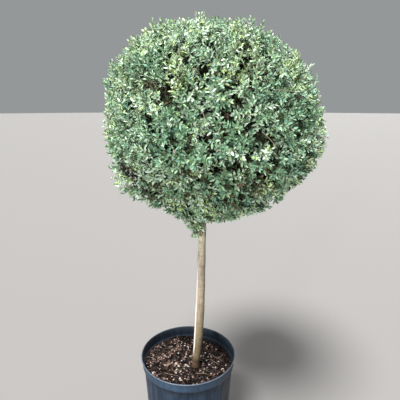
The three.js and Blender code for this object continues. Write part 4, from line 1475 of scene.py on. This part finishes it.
# Damp compost and fine bark: near black-brown crumbs of 4 mm with rusty and pale specks, matt.
def mixSurface(tree):
    place = addNode(tree, "ShaderNodeTexCoord").outputs["Object"]
    crumb = addNode(tree, "ShaderNodeTexVoronoi", {"Vector": place, "Scale": 230.0})
    tint = addNode(tree, "ShaderNodeSeparateColor", {"Color": crumb.outputs["Color"]})
    colour = addNode(tree, "ShaderNodeValToRGB", {"Fac": tint}, stops=[
        (0.0, "#030202"), (0.5, "#0a0605"), (0.75, "#1a100c"), (0.88, "#30231d"), (0.95, "#4d3f37")])
    bump = addNode(tree, "ShaderNodeBump", {"Height": crumb, "Strength": 0.9, "Distance": 0.003}, invert=True)
    return addNode(tree, "ShaderNodeBsdfPrincipled", {
        "Base Color": colour, "Roughness": 0.95, "IOR": 1.4, "Specular IOR Level": 0.06, "Normal": bump})


chipForm = {"uneven": 0.13, "shifted": 0.06}  # how far its corners stand in or out, and aside


# An angular chip of twenty faces, longest along X.
def chipShape(name, size, seed):
    draw = np.random.default_rng(seed)
    golden = (1 + math.sqrt(5)) / 2
    corners = np.array([(-1, golden, 0), (1, golden, 0), (-1, -golden, 0), (1, -golden, 0), (0, -1, golden),
                        (0, 1, golden), (0, -1, -golden), (0, 1, -golden), (golden, 0, -1), (golden, 0, 1),
                        (-golden, 0, -1), (-golden, 0, 1)], float)
    uneven, shifted = chipForm["uneven"], chipForm["shifted"]
    reach = 0.5 + draw.uniform(-uneven, uneven, (len(corners), 1))
    corners = unit(corners) * reach + draw.uniform(-shifted, shifted, corners.shape)
    faces = [(0, 11, 5), (0, 5, 1), (0, 1, 7), (0, 7, 10), (0, 10, 11), (1, 5, 9), (5, 11, 4), (11, 10, 2),
             (10, 7, 6), (7, 1, 8), (3, 9, 4), (3, 4, 2), (3, 2, 6), (3, 6, 8), (3, 8, 9), (4, 9, 5),
             (2, 4, 11), (6, 2, 10), (8, 6, 7), (9, 8, 1)]
    return newPiece(name, corners * np.array(size), faces)


# Broken bark and pumice, matt, in a shade for every 12 mm or so, which sets chip off from chip.
def chipSurface(colours):
    def build(tree):
        place = addNode(tree, "ShaderNodeTexCoord").outputs["Object"]
        patch = addNode(tree, "ShaderNodeTexVoronoi", {"Vector": place, "Scale": 85.0})
        tint = addNode(tree, "ShaderNodeSeparateColor", {"Color": patch.outputs["Color"]})
        colour = addNode(tree, "ShaderNodeValToRGB", {"Fac": tint.outputs[1]}, stops=[
            (0.1, colours[0]), (0.9, colours[1])])
        return addNode(tree, "ShaderNodeBsdfPrincipled", {
            "Base Color": colour, "Roughness": 0.9, "IOR": 1.45, "Specular IOR Level": 0.12})
    return build


# How thick the chips lie at each point of the bed: all kinds, the pale ones and moss.
def chipShares(bed):
    x, y, z = np.array([v.co for v in bed.data.vertices]).T / mm
    foot, radius = stemFoot()
    able = z > mix["level"] - mix["looseTop"] + 0.5  # on top, not down the sides
    able &= np.hypot(x, y) < potWall(mix["level"]) - chipPlaces["fromWall"]
    able &= np.hypot(x - foot[0], y - foot[1]) > radius + chipPlaces["fromStem"]
    steady, loose, apart, seed = chipPlaces["patchy"]
    patchy = steady + loose * field(np.stack([x, y, z], axis=1), apart, seed)
    # fewer pale chips on the right as painted shade, and fewer in front
    right, front = chipPlaces["fewerRight"], chipPlaces["fewerInFront"]
    across = x * right["way"][0] + y * right["way"][1]
    fewer = 1 - right["share"] * smoothStep(across, *right["from"])
    fewer = fewer * (1 - front["share"] * smoothStep(-y, *front["from"]))
    pale = able * np.clip(patchy, *chipPlaces["patchyLimits"]) * fewer
    tufts = np.zeros(len(x))
    for tuftX, tuftY, wide in mossTufts:
        off = np.hypot(x - tuftX, y - tuftY)
        tufts = np.maximum(tufts, 1 - smoothStep(off, wide * chipPlaces["mossCore"], wide / 2))
    return {"all": able.astype(float), "pale": pale, "moss": able * tufts}


def makeChips(bed):
    scatter = scatterTree()
    where = chipShares(bed)
    for chip in chips:
        source = bed.copy()
        source.data = bed.data.copy()
        source.name = "chips_" + chip["name"]
        bpy.context.scene.collection.objects.link(source)
        give(source, "where", where[chip["where"]])
        shape = chipShape("chip", chip["size"], chip["seed"])
        surface = newMaterial("chips, " + chip["name"], chipSurface(chip["colours"]))
        piece = runTree(scatter, source, {
            "Chip": shape, "Density": float(chip["density"]), "Density Attribute": "where",
            "Smallest": chip["range"][0], "Largest": chip["range"][1], "Tilt": chip["tilt"],
            "Seed": chip["seed"], "Material": surface,
        })
        bpy.data.objects.remove(shape)
        dress(piece, "bark_mix", ["potting_mix"])
        print(piece.name, len(piece.data.polygons), "faces")


# A few straws that have blown in and lie on the chips.
def lyingStraws():
    draw = np.random.default_rng(straws["seed"])
    count = straws["count"]
    edge = potWall(mix["level"]) - straws["fromWall"]
    turn = draw.uniform(0, tau, count)
    off = np.sqrt(draw.uniform(*straws["out"], count)) * edge
    middle = np.stack([off * np.cos(turn), off * np.sin(turn)], axis=1)
    lie = draw.uniform(0, tau, count)
    half = np.stack([np.cos(lie), np.sin(lie)], axis=1) * draw.uniform(*straws["long"], (count, 1)) / 2
    bend = middle + draw.normal(size=(count, 2)) * straws["crooked"]
    ends = []
    for place in (middle - half, bend, middle + half):
        place = place * np.minimum(1, edge / np.linalg.norm(place, axis=1))[:, None]
        height = mixHeight(place[:, 0], place[:, 1], edge) + draw.uniform(*straws["lift"], count)
        ends.append(np.column_stack([place, height]))
    return ends


bed = makeMix()
makeChips(bed)
dryStraw = newMaterial("dry straw", plainSurface("#84705a", 0.55, 1.5))  # pale gold, a little glossy
tubesAlong("straws", [lyingStraws()], 6, straws["radii"], 5, dryStraw, "bark_mix", ["potting_mix"])
dress(bed, "bark_mix", ["potting_mix"], newMaterial("damp compost and bark", mixSurface))
print("potting mix made")
